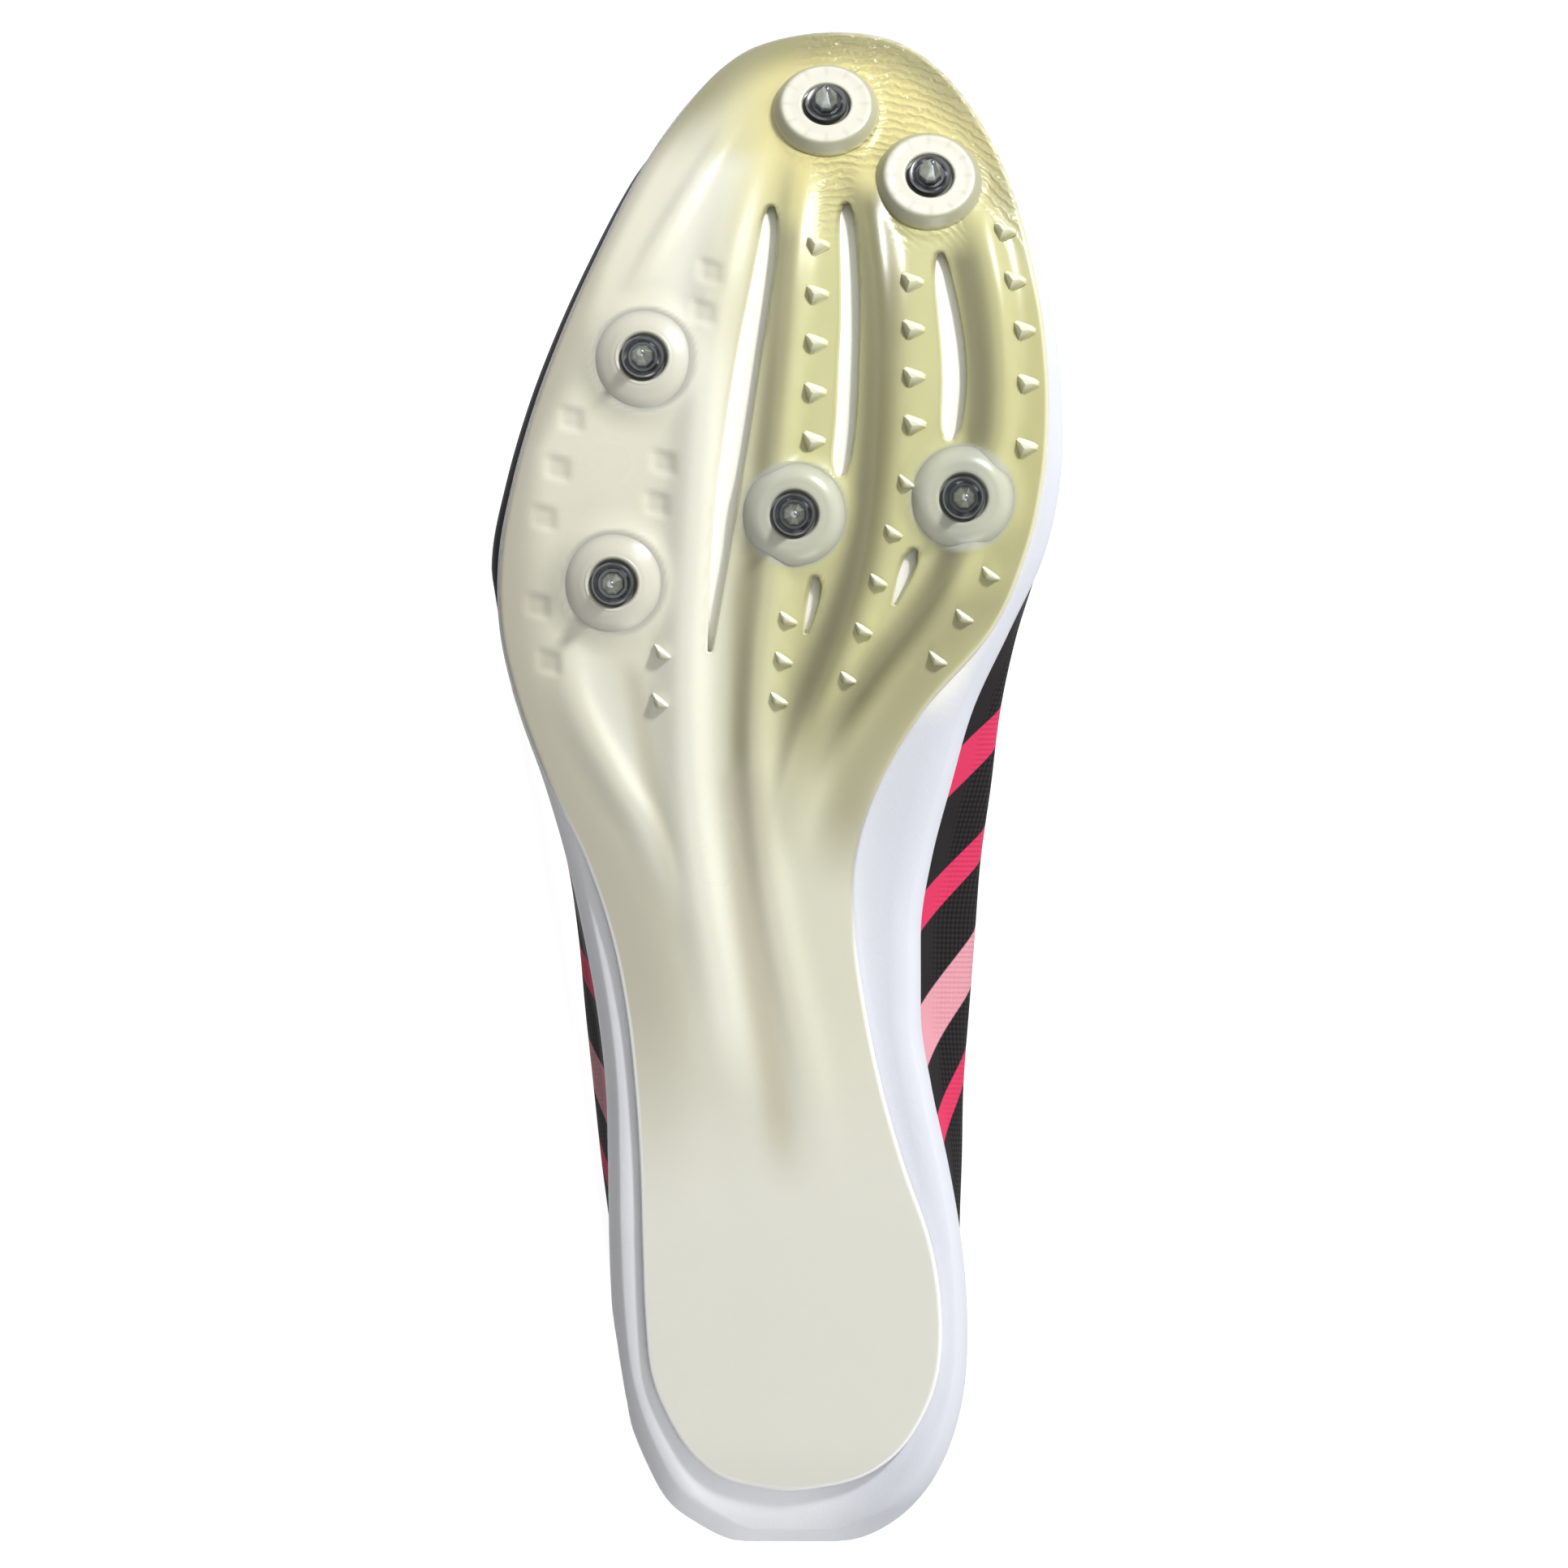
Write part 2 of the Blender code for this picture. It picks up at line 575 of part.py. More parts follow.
def build_pins(home, finish):
    """A screw-in steel pin for each boss: a turned collar and cone."""
    seat = BOSS_HEIGHT - WELL_DEPTH + GAP
    profile = ((0.0, 0.0), (PIN_COLLAR_RADIUS, 0.0), (PIN_COLLAR_RADIUS, PIN_COLLAR_HEIGHT),
               (PIN_BASE_RADIUS, PIN_COLLAR_HEIGHT + PIN_BASE_RADIUS - PIN_TIP_RADIUS),
               (PIN_TIP_RADIUS, PIN_LENGTH), (0.0, PIN_LENGTH))
    mesh = bpy.data.meshes.new("spike_pin")
    mesh.from_pydata([(radius, 0.0, height) for radius, height in profile[::-1]], [
        (k, k + 1) for k in range(len(profile) - 1)], [])
    mesh.materials.append(finish)
    pins = []
    for name, at, side in SPIKES:
        pin = bpy.data.objects.new("spike_pin_" + name, mesh)
        home.objects.link(pin)
        turn = pin.modifiers.new("turn", "SCREW")
        turn.steps = turn.render_steps = 12
        turn.use_merge_vertices = True
        turn.merge_threshold = 0.0001
        pin.matrix_world = plate_frame(at * LENGTH, side * BALL_WIDTH, -seat)
        pins.append(pin)
    return pins


def build_midsole(home, finish):
    """The foam: a tucked foot, a stepped side and a flat footbed."""
    sections = []
    for at in FOAM.stations(42):
        def rim(side, inset, share):
            x, y = outline_point(FOAM, "", side, at, inset)
            low = ground(x, y) + PLATE_THICKNESS + GAP
            return Vector((x, y, low + (footbed(x) - low) * share))

        side_profile = ((FOAM_TUCK, 0.0), (FOAM_TUCK * 0.35, 0.16), (0.0, 0.42),
                        (FOAM_STEP * 0.3, 0.66), (FOAM_STEP, 0.72), (FOAM_TOP_INSET, 1.0))
        lateral = [rim(LATERAL, inset, share) for inset, share in side_profile]
        medial = [rim(MEDIAL, inset, share) for inset, share in side_profile]
        top = [lateral[-1].lerp(medial[-1], k / 4) for k in (1, 2, 3)]
        under = []
        for k in (1, 2, 3, 4, 5):
            point = medial[0].lerp(lateral[0], k / 6)
            point.z = ground(point.x, point.y) + PLATE_THICKNESS + GAP
            under.append(point)
        sections.append(lateral + top + medial[::-1] + under)
    cap = strip_cap(len(lateral), len(top), len(sections[0]))
    return loft("midsole", sections, home, finish, cap)


def build_upper(home, finish):
    """The upper's inner face as rings from the feather line to the topline, thickened out."""
    stations = UPPER.stations(31)
    round_shoe = [(LATERAL, at) for at in stations] + [(MEDIAL, at) for at in stations[::-1]]
    overlay_from = 0.80
    rise_shares = (0.16, 0.32, 0.48, 0.64, overlay_from - 0.01, overlay_from, 0.90, 1.0)
    points = []
    for side, at in round_shoe:
        points.append(feather(side, at))
        points += [under_wall(side, at, share) for share in (0.0, 0.35, 0.68, 1.0)]
        points += [over_wall(side, at, share) for share in rise_shares]
    levels = 5 + len(rise_shares)
    first_raised = levels - 3
    faces = []
    columns = len(round_shoe)
    for c in range(columns):
        after = (c + 1) % columns
        for k in range(levels - 1):
            faces.append((c * levels + k, after * levels + k, after * levels + k + 1, c * levels + k + 1))
    upper = add_object("upper", points, faces, home, finish)
    overlay = upper.vertex_groups.new(name="overlay")
    raised = [c * levels + k for c in range(columns) for k in range(first_raised, levels)]
    overlay.add(raised, 1.0, "REPLACE")
    wall = upper.modifiers.new("wall", "SOLIDIFY")
    wall.thickness = WALL + OVERLAY
    wall.offset = 1.0
    wall.use_even_offset = True
    wall.use_quality_normals = True
    wall.vertex_group = overlay.name
    wall.thickness_vertex_group = WALL / (WALL + OVERLAY)
    return upper


def build_insole(home, finish):
    """The loose insole on the footbed, clear of the upper's wall."""
    inset = FOAM_TOP_INSET + UPPER_INSET + WALL + INSOLE_CLEARANCE
    sections = []
    for at in FOAM.stations(34):
        section = []
        for level, tuck in ((GAP, 0.0), (INSOLE_THICKNESS + GAP, INSOLE_THICKNESS / 6)):
            x, lateral = outline_point(FOAM, "", LATERAL, at, inset + tuck)
            _, medial = outline_point(FOAM, "", MEDIAL, at, inset + tuck)
            row = [Vector((x, y, footbed(x) + level)) for y in between(lateral, medial, 4)]
            section += row if level == GAP else row[::-1]
        sections.append(section)
    return loft("insole", sections, home, finish)


def throat_edge(side, x):
    """The topline where it passes a station of the shoe, along the throat or collar."""
    low, high = 0.02, 0.999
    for _ in range(30):
        middle = (low + high) / 2
        if UPPER("top_at", middle) * LENGTH < x:
            low = middle
        else:
            high = middle
    return topline(side, low)


def build_tongue(home, finish):
    """A bowed pad under the throat that stands out over the collar."""
    sections = []
    count = 6
    corner = throat_edge(LATERAL, 0.43 * LENGTH)
    for at in [*between(0.345, 0.40, 6), *between(0.415, 0.73, 14)]:
        x = at * LENGTH
        near = max(min(x, UPPER("top_at", 1.0) * LENGTH), corner.x)
        edges = [throat_edge(side, near) for side in (LATERAL, MEDIAL)]
        middle = (edges[0].y + edges[1].y) / 2
        reach = abs(edges[1].y - edges[0].y) / 2
        half = TONGUE("half", at) * BALL_WIDTH
        seat = edges[0].z - TONGUE_CLEARANCE + INSTEP_HEIGHT * (TONGUE("rise", at) - TONGUE("drop", at))
        bow = min(reach, TONGUE_BOW_REACH) ** 2 / (2 * TONGUE_RADIUS)
        sides = between(-half, half, count)
        top = [Vector((x, middle + y, seat + bow - y * y / (2 * TONGUE_RADIUS))) for y in sides]
        under = [point - Vector((0, 0, TONGUE_THICKNESS)) for point in top]
        sections.append(top + under[::-1])
    return loft("tongue", sections, home, finish)


def lace_ribbon(name, route, home, finish=None):
    """A flat strip through points, each with its direction up."""
    sections = []
    for k, (point, up) in enumerate(route):
        ahead = (route[min(k + 1, len(route) - 1)][0] - route[max(k - 1, 0)][0]).normalized()
        across = up.cross(ahead).normalized() * LACE_WIDTH / 2
        lift = ahead.cross(across).normalized() * LACE_THICKNESS / 2
        sections.append([point - across - lift, point + across - lift, point + across + lift,
                         point - across + lift])
    return loft(name, sections, home, finish)


def build_lace(home, tools, finish):
    """The crossings over the throat, joined at the eyelets and where they cross."""
    eyelet_stations = between(0.49, 0.655, EYELET_PAIRS - 1)
    bottom_pair = eyelet_stations[-1]

    def eyelet(side, at, share, layer):
        out = wall_out(side, at, share)
        height = WALL + OVERLAY + LACE_CLEARANCE + LACE_THICKNESS / 2 + layer * LACE_LAYER
        return over_wall(side, at, share) + out * height, out

    def crossing(name, first_side, first_at, last_at, layer, home, finish=None):
        ends = [[eyelet(side, at, share, layer) for share in (0.87, 0.985)]
                for side, at in ((first_side, first_at), (-first_side, last_at))]
        return lace_ribbon(name, [*ends[0], *ends[1][::-1]], home, finish)

    lace = crossing("lace", LATERAL, bottom_pair, bottom_pair, 2, home, finish)
    for k, at in enumerate(eyelet_stations[:-1]):
        for side in (LATERAL, MEDIAL):
            name = "crossing_%d_%s" % (k, "lateral" if side == LATERAL else "medial")
            layer = 0 if side == LATERAL else 1
            combine(lace, crossing(name, side, at, eyelet_stations[k + 1], layer, tools), "UNION")
    return lace


def solid_points(objects):
    """World points, volume and centre of each evaluated object."""
    graph = bpy.context.evaluated_depsgraph_get()
    found = []
    for item in objects:
        shape = item.evaluated_get(graph)
        mesh = shape.to_mesh()
        mesh.calc_loop_triangles()
        points = np.array([item.matrix_world @ vert.co for vert in mesh.vertices])
        corners = points[np.array([triangle.vertices[:] for triangle in mesh.loop_triangles])]
        volumes = np.einsum("ij,ij->i", corners[:, 0], np.cross(corners[:, 1], corners[:, 2])) / 6
        volume = volumes.sum()
        centre = (corners.sum(axis=1) / 4 * volumes[:, None]).sum(axis=0) / volume
        found.append((item, points, volume, centre))
        shape.to_mesh_clear()
    return found


def lying_down(objects):
    """Turns the shoe frame to where the empty shoe rests on its lateral side.

    Of the hull's faces that the centre of mass stands over, it is the one that lies
    flattest under the shoe's side.
    """
    solids = solid_points(objects)
    weights = [volume * DENSITY.get(item.name, DENSITY["pin"]) for item, _, volume, _ in solids]
    centre = Vector(sum(weight * solid[3] for weight, solid in zip(weights, solids)) / sum(weights))
    hull = bmesh.new()
    for _, points, _, _ in solids:
        for point in points:
            hull.verts.new(point)
    bmesh.ops.convex_hull(hull, input=hull.verts)
    best = None
    for face in hull.faces:
        down = face.normal
        foot = centre + down * (face.verts[0].co - centre).dot(down)
        turns = [(b.co - a.co).cross(foot - a.co).dot(down)
                 for a, b in zip(face.verts, [*face.verts[1:], face.verts[0]])]
        if all(turn > 0 for turn in turns) and (best is None or down.y < best.y):
            best = down.copy()
    hull.free()
    down = best
    toe = Vector((1, 0, 0))
    toe = (toe - down * toe.dot(down)).normalized()
    rows = Matrix((-toe, down.cross(toe), -down))
    turn = rows.to_4x4()
    placed = np.array([turn @ Vector(point) for _, points, _, _ in solids for point in points])
    low, high = placed.min(axis=0), placed.max(axis=0)
    shift = Vector((-(low[0] + high[0]) / 2, -(low[1] + high[1]) / 2, -low[2] - FLOOR_PRESS))
    return Matrix.Translation(shift) @ turn


def press_on_floor(pieces, tools):
    """Flat spots where the sole's edge and the upper lie on the floor."""
    form = bmesh.new()
    depth = LENGTH / 10
    shape = Matrix.Diagonal((2 * LENGTH, 2 * LENGTH, depth, 1.0))
    bmesh.ops.create_cube(form, size=1.0, matrix=Matrix.Translation((0, 0, -depth / 2)) @ shape)
    mesh = bpy.data.meshes.new("floor")
    form.to_mesh(mesh)
    form.free()
    floor = bpy.data.objects.new("floor", mesh)
    tools.objects.link(floor)
    for piece in pieces:
        combine(piece, floor, "DIFFERENCE")


def main():
    for item in list(bpy.data.objects):
        bpy.data.objects.remove(item, do_unlink=True)
    home = collection("track_spike_shoe")
    tools = collection("tools")

    plate = build_plate(home, tools, material("plate_plastic", (0.70, 0.68, 0.50), 0.32))
    pins = build_pins(home, material("spike_steel", (0.22, 0.24, 0.25), 0.35, 1.0))
    midsole = build_midsole(home, material("midsole_foam", (0.86, 0.88, 0.93), 0.65))
    upper = build_upper(home, material("upper_mesh", (0.03, 0.028, 0.03), 0.8))
    insole = build_insole(home, material("insole_cloth", (0.05, 0.05, 0.055), 0.9))
    tongue = build_tongue(home, material("tongue_mesh", (0.035, 0.033, 0.035), 0.85))
    lace = build_lace(home, tools, material("lace_cloth", (0.04, 0.04, 0.04), 0.8))
    pieces = [plate, *pins, midsole, upper, insole, tongue, lace]

    bpy.context.view_layer.update()
    place = lying_down(pieces)
    rest = bpy.data.objects.new("shoe_rest", None)
    home.objects.link(rest)
    rest.matrix_world = place
    for item in [*pieces, *tools.objects]:
        item.parent = rest
    bpy.context.view_layer.update()
    press_on_floor([plate, midsole, upper], tools)


main()
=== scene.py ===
"""The looks of a right-foot track spike shoe that lies on its lateral side.

Every piece is modelled in the shoe's own frame, as in the part's source: x from the back
of the heel to the toe, y towards the medial side, z up out of the sole. shoe_place() finds
how the frame's solids lie, and each piece is laid down the same way.
"""
from math import cos, pi, sin

import bmesh
import bpy
import numpy as np
from mathutils import Matrix, Vector


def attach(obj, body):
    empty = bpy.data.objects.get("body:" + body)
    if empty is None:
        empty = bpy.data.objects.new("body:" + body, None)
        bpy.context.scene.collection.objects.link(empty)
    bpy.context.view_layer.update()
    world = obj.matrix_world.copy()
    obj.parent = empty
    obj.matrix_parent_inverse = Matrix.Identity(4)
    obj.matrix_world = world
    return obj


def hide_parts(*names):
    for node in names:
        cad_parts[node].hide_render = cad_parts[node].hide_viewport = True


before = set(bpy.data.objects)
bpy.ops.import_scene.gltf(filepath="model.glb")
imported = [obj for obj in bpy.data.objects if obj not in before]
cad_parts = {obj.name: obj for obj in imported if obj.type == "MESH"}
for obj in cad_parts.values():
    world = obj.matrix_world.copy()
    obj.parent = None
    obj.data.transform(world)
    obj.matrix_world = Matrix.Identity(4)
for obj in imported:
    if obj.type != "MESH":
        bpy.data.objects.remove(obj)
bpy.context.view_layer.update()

# Sizes of the part's source, metres
LENGTH = 0.280
BALL_WIDTH = 0.105
HEEL_HEIGHT = 0.072
INSTEP_HEIGHT = 0.082
HEEL_STACK = 0.0180
BALL_STACK = 0.0085
TOE_SPRING = 0.029
ARCH_RISE = 0.0035
HEEL_ROLL = 0.0050
PLATE_CROWN = 0.0025
GAP = 0.0003
PLATE_THICKNESS = 0.0015
BOSS_HEIGHT = 0.0030
BOSS_RADIUS = 0.0098
BOSS_TOP_RADIUS = 0.0082
WELL_RADIUS = 0.0044
WELL_DEPTH = 0.0010
PIN_COLLAR_RADIUS = 0.0039
PIN_COLLAR_HEIGHT = 0.0014
PIN_BASE_RADIUS = 0.0022
PIN_TIP_RADIUS = 0.0005
PIN_LENGTH = 0.0062
PIN_SEAT = BOSS_HEIGHT - WELL_DEPTH + GAP
FOAM_TUCK = 0.0024
FOAM_STEP = 0.0007
FOAM_TOP_INSET = 0.0010
UPPER_INSET = 0.0006
WALL = 0.0016
OVERLAY = 0.0007
GIRTH_RISE = 0.0150
FEATHER_HEIGHT = 0.0010
INSOLE_THICKNESS = 0.0040
INSOLE_CLEARANCE = 0.0006
TONGUE_THICKNESS = 0.0028
TONGUE_RADIUS = 0.045
TONGUE_BOW_REACH = 0.012
TONGUE_CLEARANCE = 0.0006
LACE_WIDTH = 0.0048
LACE_THICKNESS = 0.0013
LACE_CLEARANCE = 0.0005
LACE_LAYER = 0.0003
EYELET_PAIRS = 5

# Sizes of the fine forms
OVERLAY_FROM = 0.80
EYELET_SHARE = 0.87
EYELET_RADIUS = 0.0018
LACE_SIDES = 14
RIM_ROUND = 0.0007
SLOT_CHAMFER = 0.0004
STITCH_LENGTH = 0.0022
STITCH_RADIUS = 0.00028
STITCH_PITCH = 1.35 * STITCH_LENGTH
EYELET_STATIONS = np.linspace(0.49, 0.655, EYELET_PAIRS)
THROAT_SHARE = 0.985  # how far up the wall the lace turns over the throat's edge
SIDE_HEIGHT = 0.085  # of the upper's sides, along the wall, for its chevrons and films
SLOPE_REACH = 0.002
CREST_POWER = 2.4  # how flat-topped ribs and shades are
BOSS_STEPS = 72
PIN_STEPS = 64
EASING_ROUNDS = 260

LATERAL, MEDIAL = -1, 1


class Table:
    """Rows of shares by station (0 at the heel, 1 at the toe), read as smooth curves."""

    def __init__(self, columns, rows, round_ends=False):
        self.columns = columns.split()
        self.rows = np.array(rows)
        self.first, self.last = self.rows[0, 0], self.rows[-1, 0]
        self.round_ends = round_ends
        self.knots = self.travel(self.rows[:, 0])
        self.steps = np.diff(self.knots)

    def travel(self, at):
        share = np.clip((np.asarray(at, float) - self.first) / (self.last - self.first), 0.0, 1.0)
        return np.arccos(1 - 2 * share) / pi if self.round_ends else share

    def __call__(self, column, at):
        values = self.rows[:, self.columns.index(column)]
        t = self.travel(at)
        i = np.clip(np.searchsorted(self.knots, t) - 1, 0, len(values) - 2)
        rate = np.diff(values) / self.steps
        before, after = rate[:-1], rate[1:]
        inner = (before * self.steps[1:] + after * self.steps[:-1]) / (self.steps[1:] + self.steps[:-1])
        inner[(before == 0) | (after == 0)] = 0
        slopes = np.concatenate(([rate[0]], inner, [rate[-1]]))
        step = self.steps[i]
        u = (t - self.knots[i]) / step
        return (values[i] * (1 + 2 * u) * (1 - u) ** 2 + slopes[i] * step * u * (1 - u) ** 2
                + values[i + 1] * u * u * (3 - 2 * u) - slopes[i + 1] * step * u * u * (1 - u))

    def stations(self, count):
        """Stations that crowd towards both ends, where the outline turns."""
        k = np.arange(count + 1) / count
        crowding = 0.8
        return self.first + (self.last - self.first) * (
            (1 - crowding) * k + crowding * (1 - np.cos(pi * k)) / 2)


# Side profile: shares of toe spring, arch rise, heel roll, heel stack over ball stack, crown
PROFILE = Table("at spring arch roll heel crown", (
    (0.00, 0.000, 0.00, 1.00, 1.00, 0.00),
    (0.02, 0.000, 0.00, 0.42, 1.00, 0.00),
    (0.05, 0.000, 0.00, 0.06, 1.00, 0.00),
    (0.08, 0.000, 0.00, 0.00, 1.00, 0.00),
    (0.20, 0.000, 0.00, 0.00, 0.98, 0.00),
    (0.28, 0.000, 0.25, 0.00, 0.90, 0.15),
    (0.36, 0.000, 0.75, 0.00, 0.72, 0.40),
    (0.44, 0.000, 1.00, 0.00, 0.50, 0.70),
    (0.52, 0.000, 0.75, 0.00, 0.30, 0.90),
    (0.60, 0.000, 0.28, 0.00, 0.14, 1.00),
    (0.66, 0.003, 0.05, 0.00, 0.06, 1.00),
    (0.72, 0.018, 0.00, 0.00, 0.02, 1.00),
    (0.78, 0.070, 0.00, 0.00, 0.00, 1.00),
    (0.84, 0.175, 0.00, 0.00, 0.00, 1.00),
    (0.90, 0.390, 0.00, 0.00, 0.00, 0.90),
    (0.95, 0.645, 0.00, 0.00, 0.00, 0.70),
    (1.00, 0.960, 0.00, 0.00, 0.00, 0.50)))

# Outlines from below: distance from the heel's axis as shares of the ball width
PLATE = Table("at lateral medial", (
    (0.0350, 0.004, 0.022),
    (0.0355, -0.014, 0.040),
    (0.0368, -0.036, 0.062),
    (0.0405, -0.085, 0.112),
    (0.055, -0.150, 0.186),
    (0.080, -0.198, 0.240),
    (0.110, -0.231, 0.271),
    (0.150, -0.243, 0.278),
    (0.200, -0.248, 0.258),
    (0.250, -0.252, 0.212),
    (0.300, -0.261, 0.174),
    (0.350, -0.276, 0.146),
    (0.400, -0.303, 0.127),
    (0.450, -0.348, 0.128),
    (0.500, -0.412, 0.170),
    (0.550, -0.463, 0.250),
    (0.600, -0.495, 0.366),
    (0.650, -0.496, 0.426),
    (0.700, -0.472, 0.457),
    (0.750, -0.434, 0.466),
    (0.800, -0.384, 0.458),
    (0.850, -0.324, 0.434),
    (0.900, -0.257, 0.396),
    (0.950, -0.168, 0.328),
    (0.975, -0.107, 0.272),
    (0.9878, -0.056, 0.226),
    (0.9958, 0.014, 0.170),
    (0.9979, 0.053, 0.132),
    (0.9986, 0.086, 0.099)), round_ends=True)

FOAM = Table("at lateral medial", (
    (0.000, -0.064, 0.091),
    (0.010, -0.141, 0.180),
    (0.025, -0.197, 0.230),
    (0.050, -0.237, 0.277),
    (0.100, -0.284, 0.318),
    (0.150, -0.300, 0.324),
    (0.200, -0.306, 0.313),
    (0.250, -0.308, 0.290),
    (0.300, -0.312, 0.261),
    (0.350, -0.327, 0.242),
    (0.400, -0.351, 0.242),
    (0.450, -0.381, 0.261),
    (0.500, -0.420, 0.296),
    (0.550, -0.467, 0.335),
    (0.600, -0.498, 0.397),
    (0.650, -0.500, 0.458),
    (0.700, -0.475, 0.487),
    (0.750, -0.437, 0.490),
    (0.800, -0.387, 0.477),
    (0.850, -0.327, 0.447),
    (0.900, -0.260, 0.404),
    (0.950, -0.171, 0.333),
    (0.975, -0.107, 0.274),
    (0.9885, -0.056, 0.226),
    (0.9970, 0.015, 0.170),
    (0.9992, 0.054, 0.131),
    (1.0000, 0.086, 0.099)), round_ends=True)

# The upper's sections, as in the part's source
UPPER = Table(
    "at girth_lateral girth_medial rise_lateral rise_medial top_at top_lateral top_medial by_heel by_instep"
    " curl full slope", (
        (0.000, -0.050, 0.077, 0.90, 0.90, 0.034, -0.040, 0.066, 1.00, 0.00, 0.50, 1.00, 0.00),
        (0.010, -0.128, 0.167, 0.90, 0.90, 0.039, -0.100, 0.128, 1.00, 0.00, 0.50, 1.00, 0.00),
        (0.025, -0.184, 0.217, 0.90, 0.90, 0.050, -0.150, 0.180, 0.99, 0.00, 0.50, 1.00, 0.00),
        (0.050, -0.225, 0.265, 0.92, 0.92, 0.071, -0.194, 0.226, 0.94, 0.01, 0.50, 1.00, 0.00),
        (0.100, -0.274, 0.308, 0.95, 0.95, 0.112, -0.228, 0.258, 0.80, 0.04, 0.50, 1.00, 0.00),
        (0.150, -0.292, 0.316, 0.98, 0.98, 0.154, -0.240, 0.264, 0.60, 0.15, 0.52, 1.00, 0.00),
        (0.200, -0.306, 0.313, 1.00, 1.00, 0.200, -0.243, 0.262, 0.42, 0.28, 0.55, 1.00, 0.00),
        (0.250, -0.323, 0.317, 1.00, 1.00, 0.250, -0.240, 0.257, 0.28, 0.43, 0.60, 1.00, 0.00),
        (0.300, -0.337, 0.320, 0.98, 1.00, 0.300, -0.227, 0.250, 0.15, 0.62, 0.68, 1.00, 0.00),
        (0.350, -0.351, 0.330, 0.90, 0.98, 0.350, -0.202, 0.238, 0.05, 0.84, 0.78, 1.00, 0.00),
        (0.400, -0.363, 0.340, 0.74, 0.95, 0.395, -0.166, 0.212, 0.00, 0.98, 0.88, 1.00, 0.00),
        (0.450, -0.383, 0.350, 0.56, 0.90, 0.430, -0.122, 0.167, 0.00, 1.00, 0.96, 0.99, 0.00),
        (0.500, -0.420, 0.368, 0.42, 0.82, 0.475, -0.100, 0.145, 0.00, 0.94, 1.00, 0.97, 0.00),
        (0.550, -0.467, 0.384, 0.33, 0.75, 0.525, -0.092, 0.137, 0.00, 0.87, 1.00, 0.94, 0.00),
        (0.600, -0.503, 0.412, 0.28, 0.68, 0.575, -0.086, 0.131, 0.00, 0.81, 1.00, 0.91, 0.02),
        (0.650, -0.513, 0.452, 0.26, 0.62, 0.620, -0.080, 0.125, 0.00, 0.765, 1.00, 0.89, 0.05),
        (0.700, -0.488, 0.478, 0.26, 0.58, 0.655, -0.069, 0.114, 0.00, 0.735, 1.00, 0.88, 0.10),
        (0.750, -0.450, 0.480, 0.27, 0.55, 0.677, -0.054, 0.099, 0.00, 0.72, 1.00, 0.87, 0.15),
        (0.800, -0.400, 0.467, 0.29, 0.52, 0.690, -0.038, 0.083, 0.00, 0.712, 1.00, 0.86, 0.20),
        (0.850, -0.340, 0.437, 0.32, 0.50, 0.698, -0.023, 0.068, 0.00, 0.707, 1.00, 0.84, 0.25),
        (0.900, -0.271, 0.394, 0.35, 0.47, 0.702, -0.009, 0.054, 0.00, 0.704, 1.00, 0.82, 0.28),
        (0.950, -0.177, 0.323, 0.37, 0.43, 0.705, 0.004, 0.041, 0.00, 0.702, 1.00, 0.80, 0.30),
        (0.975, -0.110, 0.264, 0.37, 0.40, 0.706, 0.010, 0.035, 0.00, 0.701, 1.00, 0.80, 0.30),
        (0.990, -0.052, 0.212, 0.37, 0.38, 0.706, 0.015, 0.030, 0.00, 0.70, 1.00, 0.80, 0.30),
        (0.9970, 0.022, 0.162, 0.37, 0.37, 0.706, 0.018, 0.027, 0.00, 0.70, 1.00, 0.80, 0.30),
        (0.9992, 0.056, 0.128, 0.37, 0.37, 0.706, 0.020, 0.025, 0.00, 0.70, 1.00, 0.80, 0.30),
        (1.0000, 0.086, 0.098, 0.37, 0.37, 0.706, 0.021, 0.024, 0.00, 0.70, 1.00, 0.80, 0.30)),
    round_ends=True)

# The tongue: half width as a share of the ball width, drop and rise of the instep height
TONGUE = Table("at half drop rise", (
    (0.345, 0.150, 0.000, 0.200),
    (0.350, 0.196, 0.000, 0.185),
    (0.362, 0.206, 0.000, 0.145),
    (0.380, 0.190, 0.000, 0.080),
    (0.400, 0.170, 0.004, 0.026),
    (0.430, 0.158, 0.006, 0.000),
    (0.480, 0.170, 0.006, 0.000),
    (0.560, 0.170, 0.006, 0.000),
    (0.620, 0.155, 0.008, 0.000),
    (0.680, 0.135, 0.014, 0.000),
    (0.730, 0.110, 0.050, 0.000)))

# Spike bosses: station, side, and how domed each one is (0 a flat white disc, 1 a dome)
SPIKES = (
    ("1", 0.944, 0.076, 0.0),
    ("2", 0.897, 0.256, 0.0),
    ("3", 0.779, -0.244, 1.0),
    ("4", 0.632, -0.297, 1.0),
    ("5", 0.677, 0.019, 0.6),
    ("6", 0.688, 0.314, 0.6))

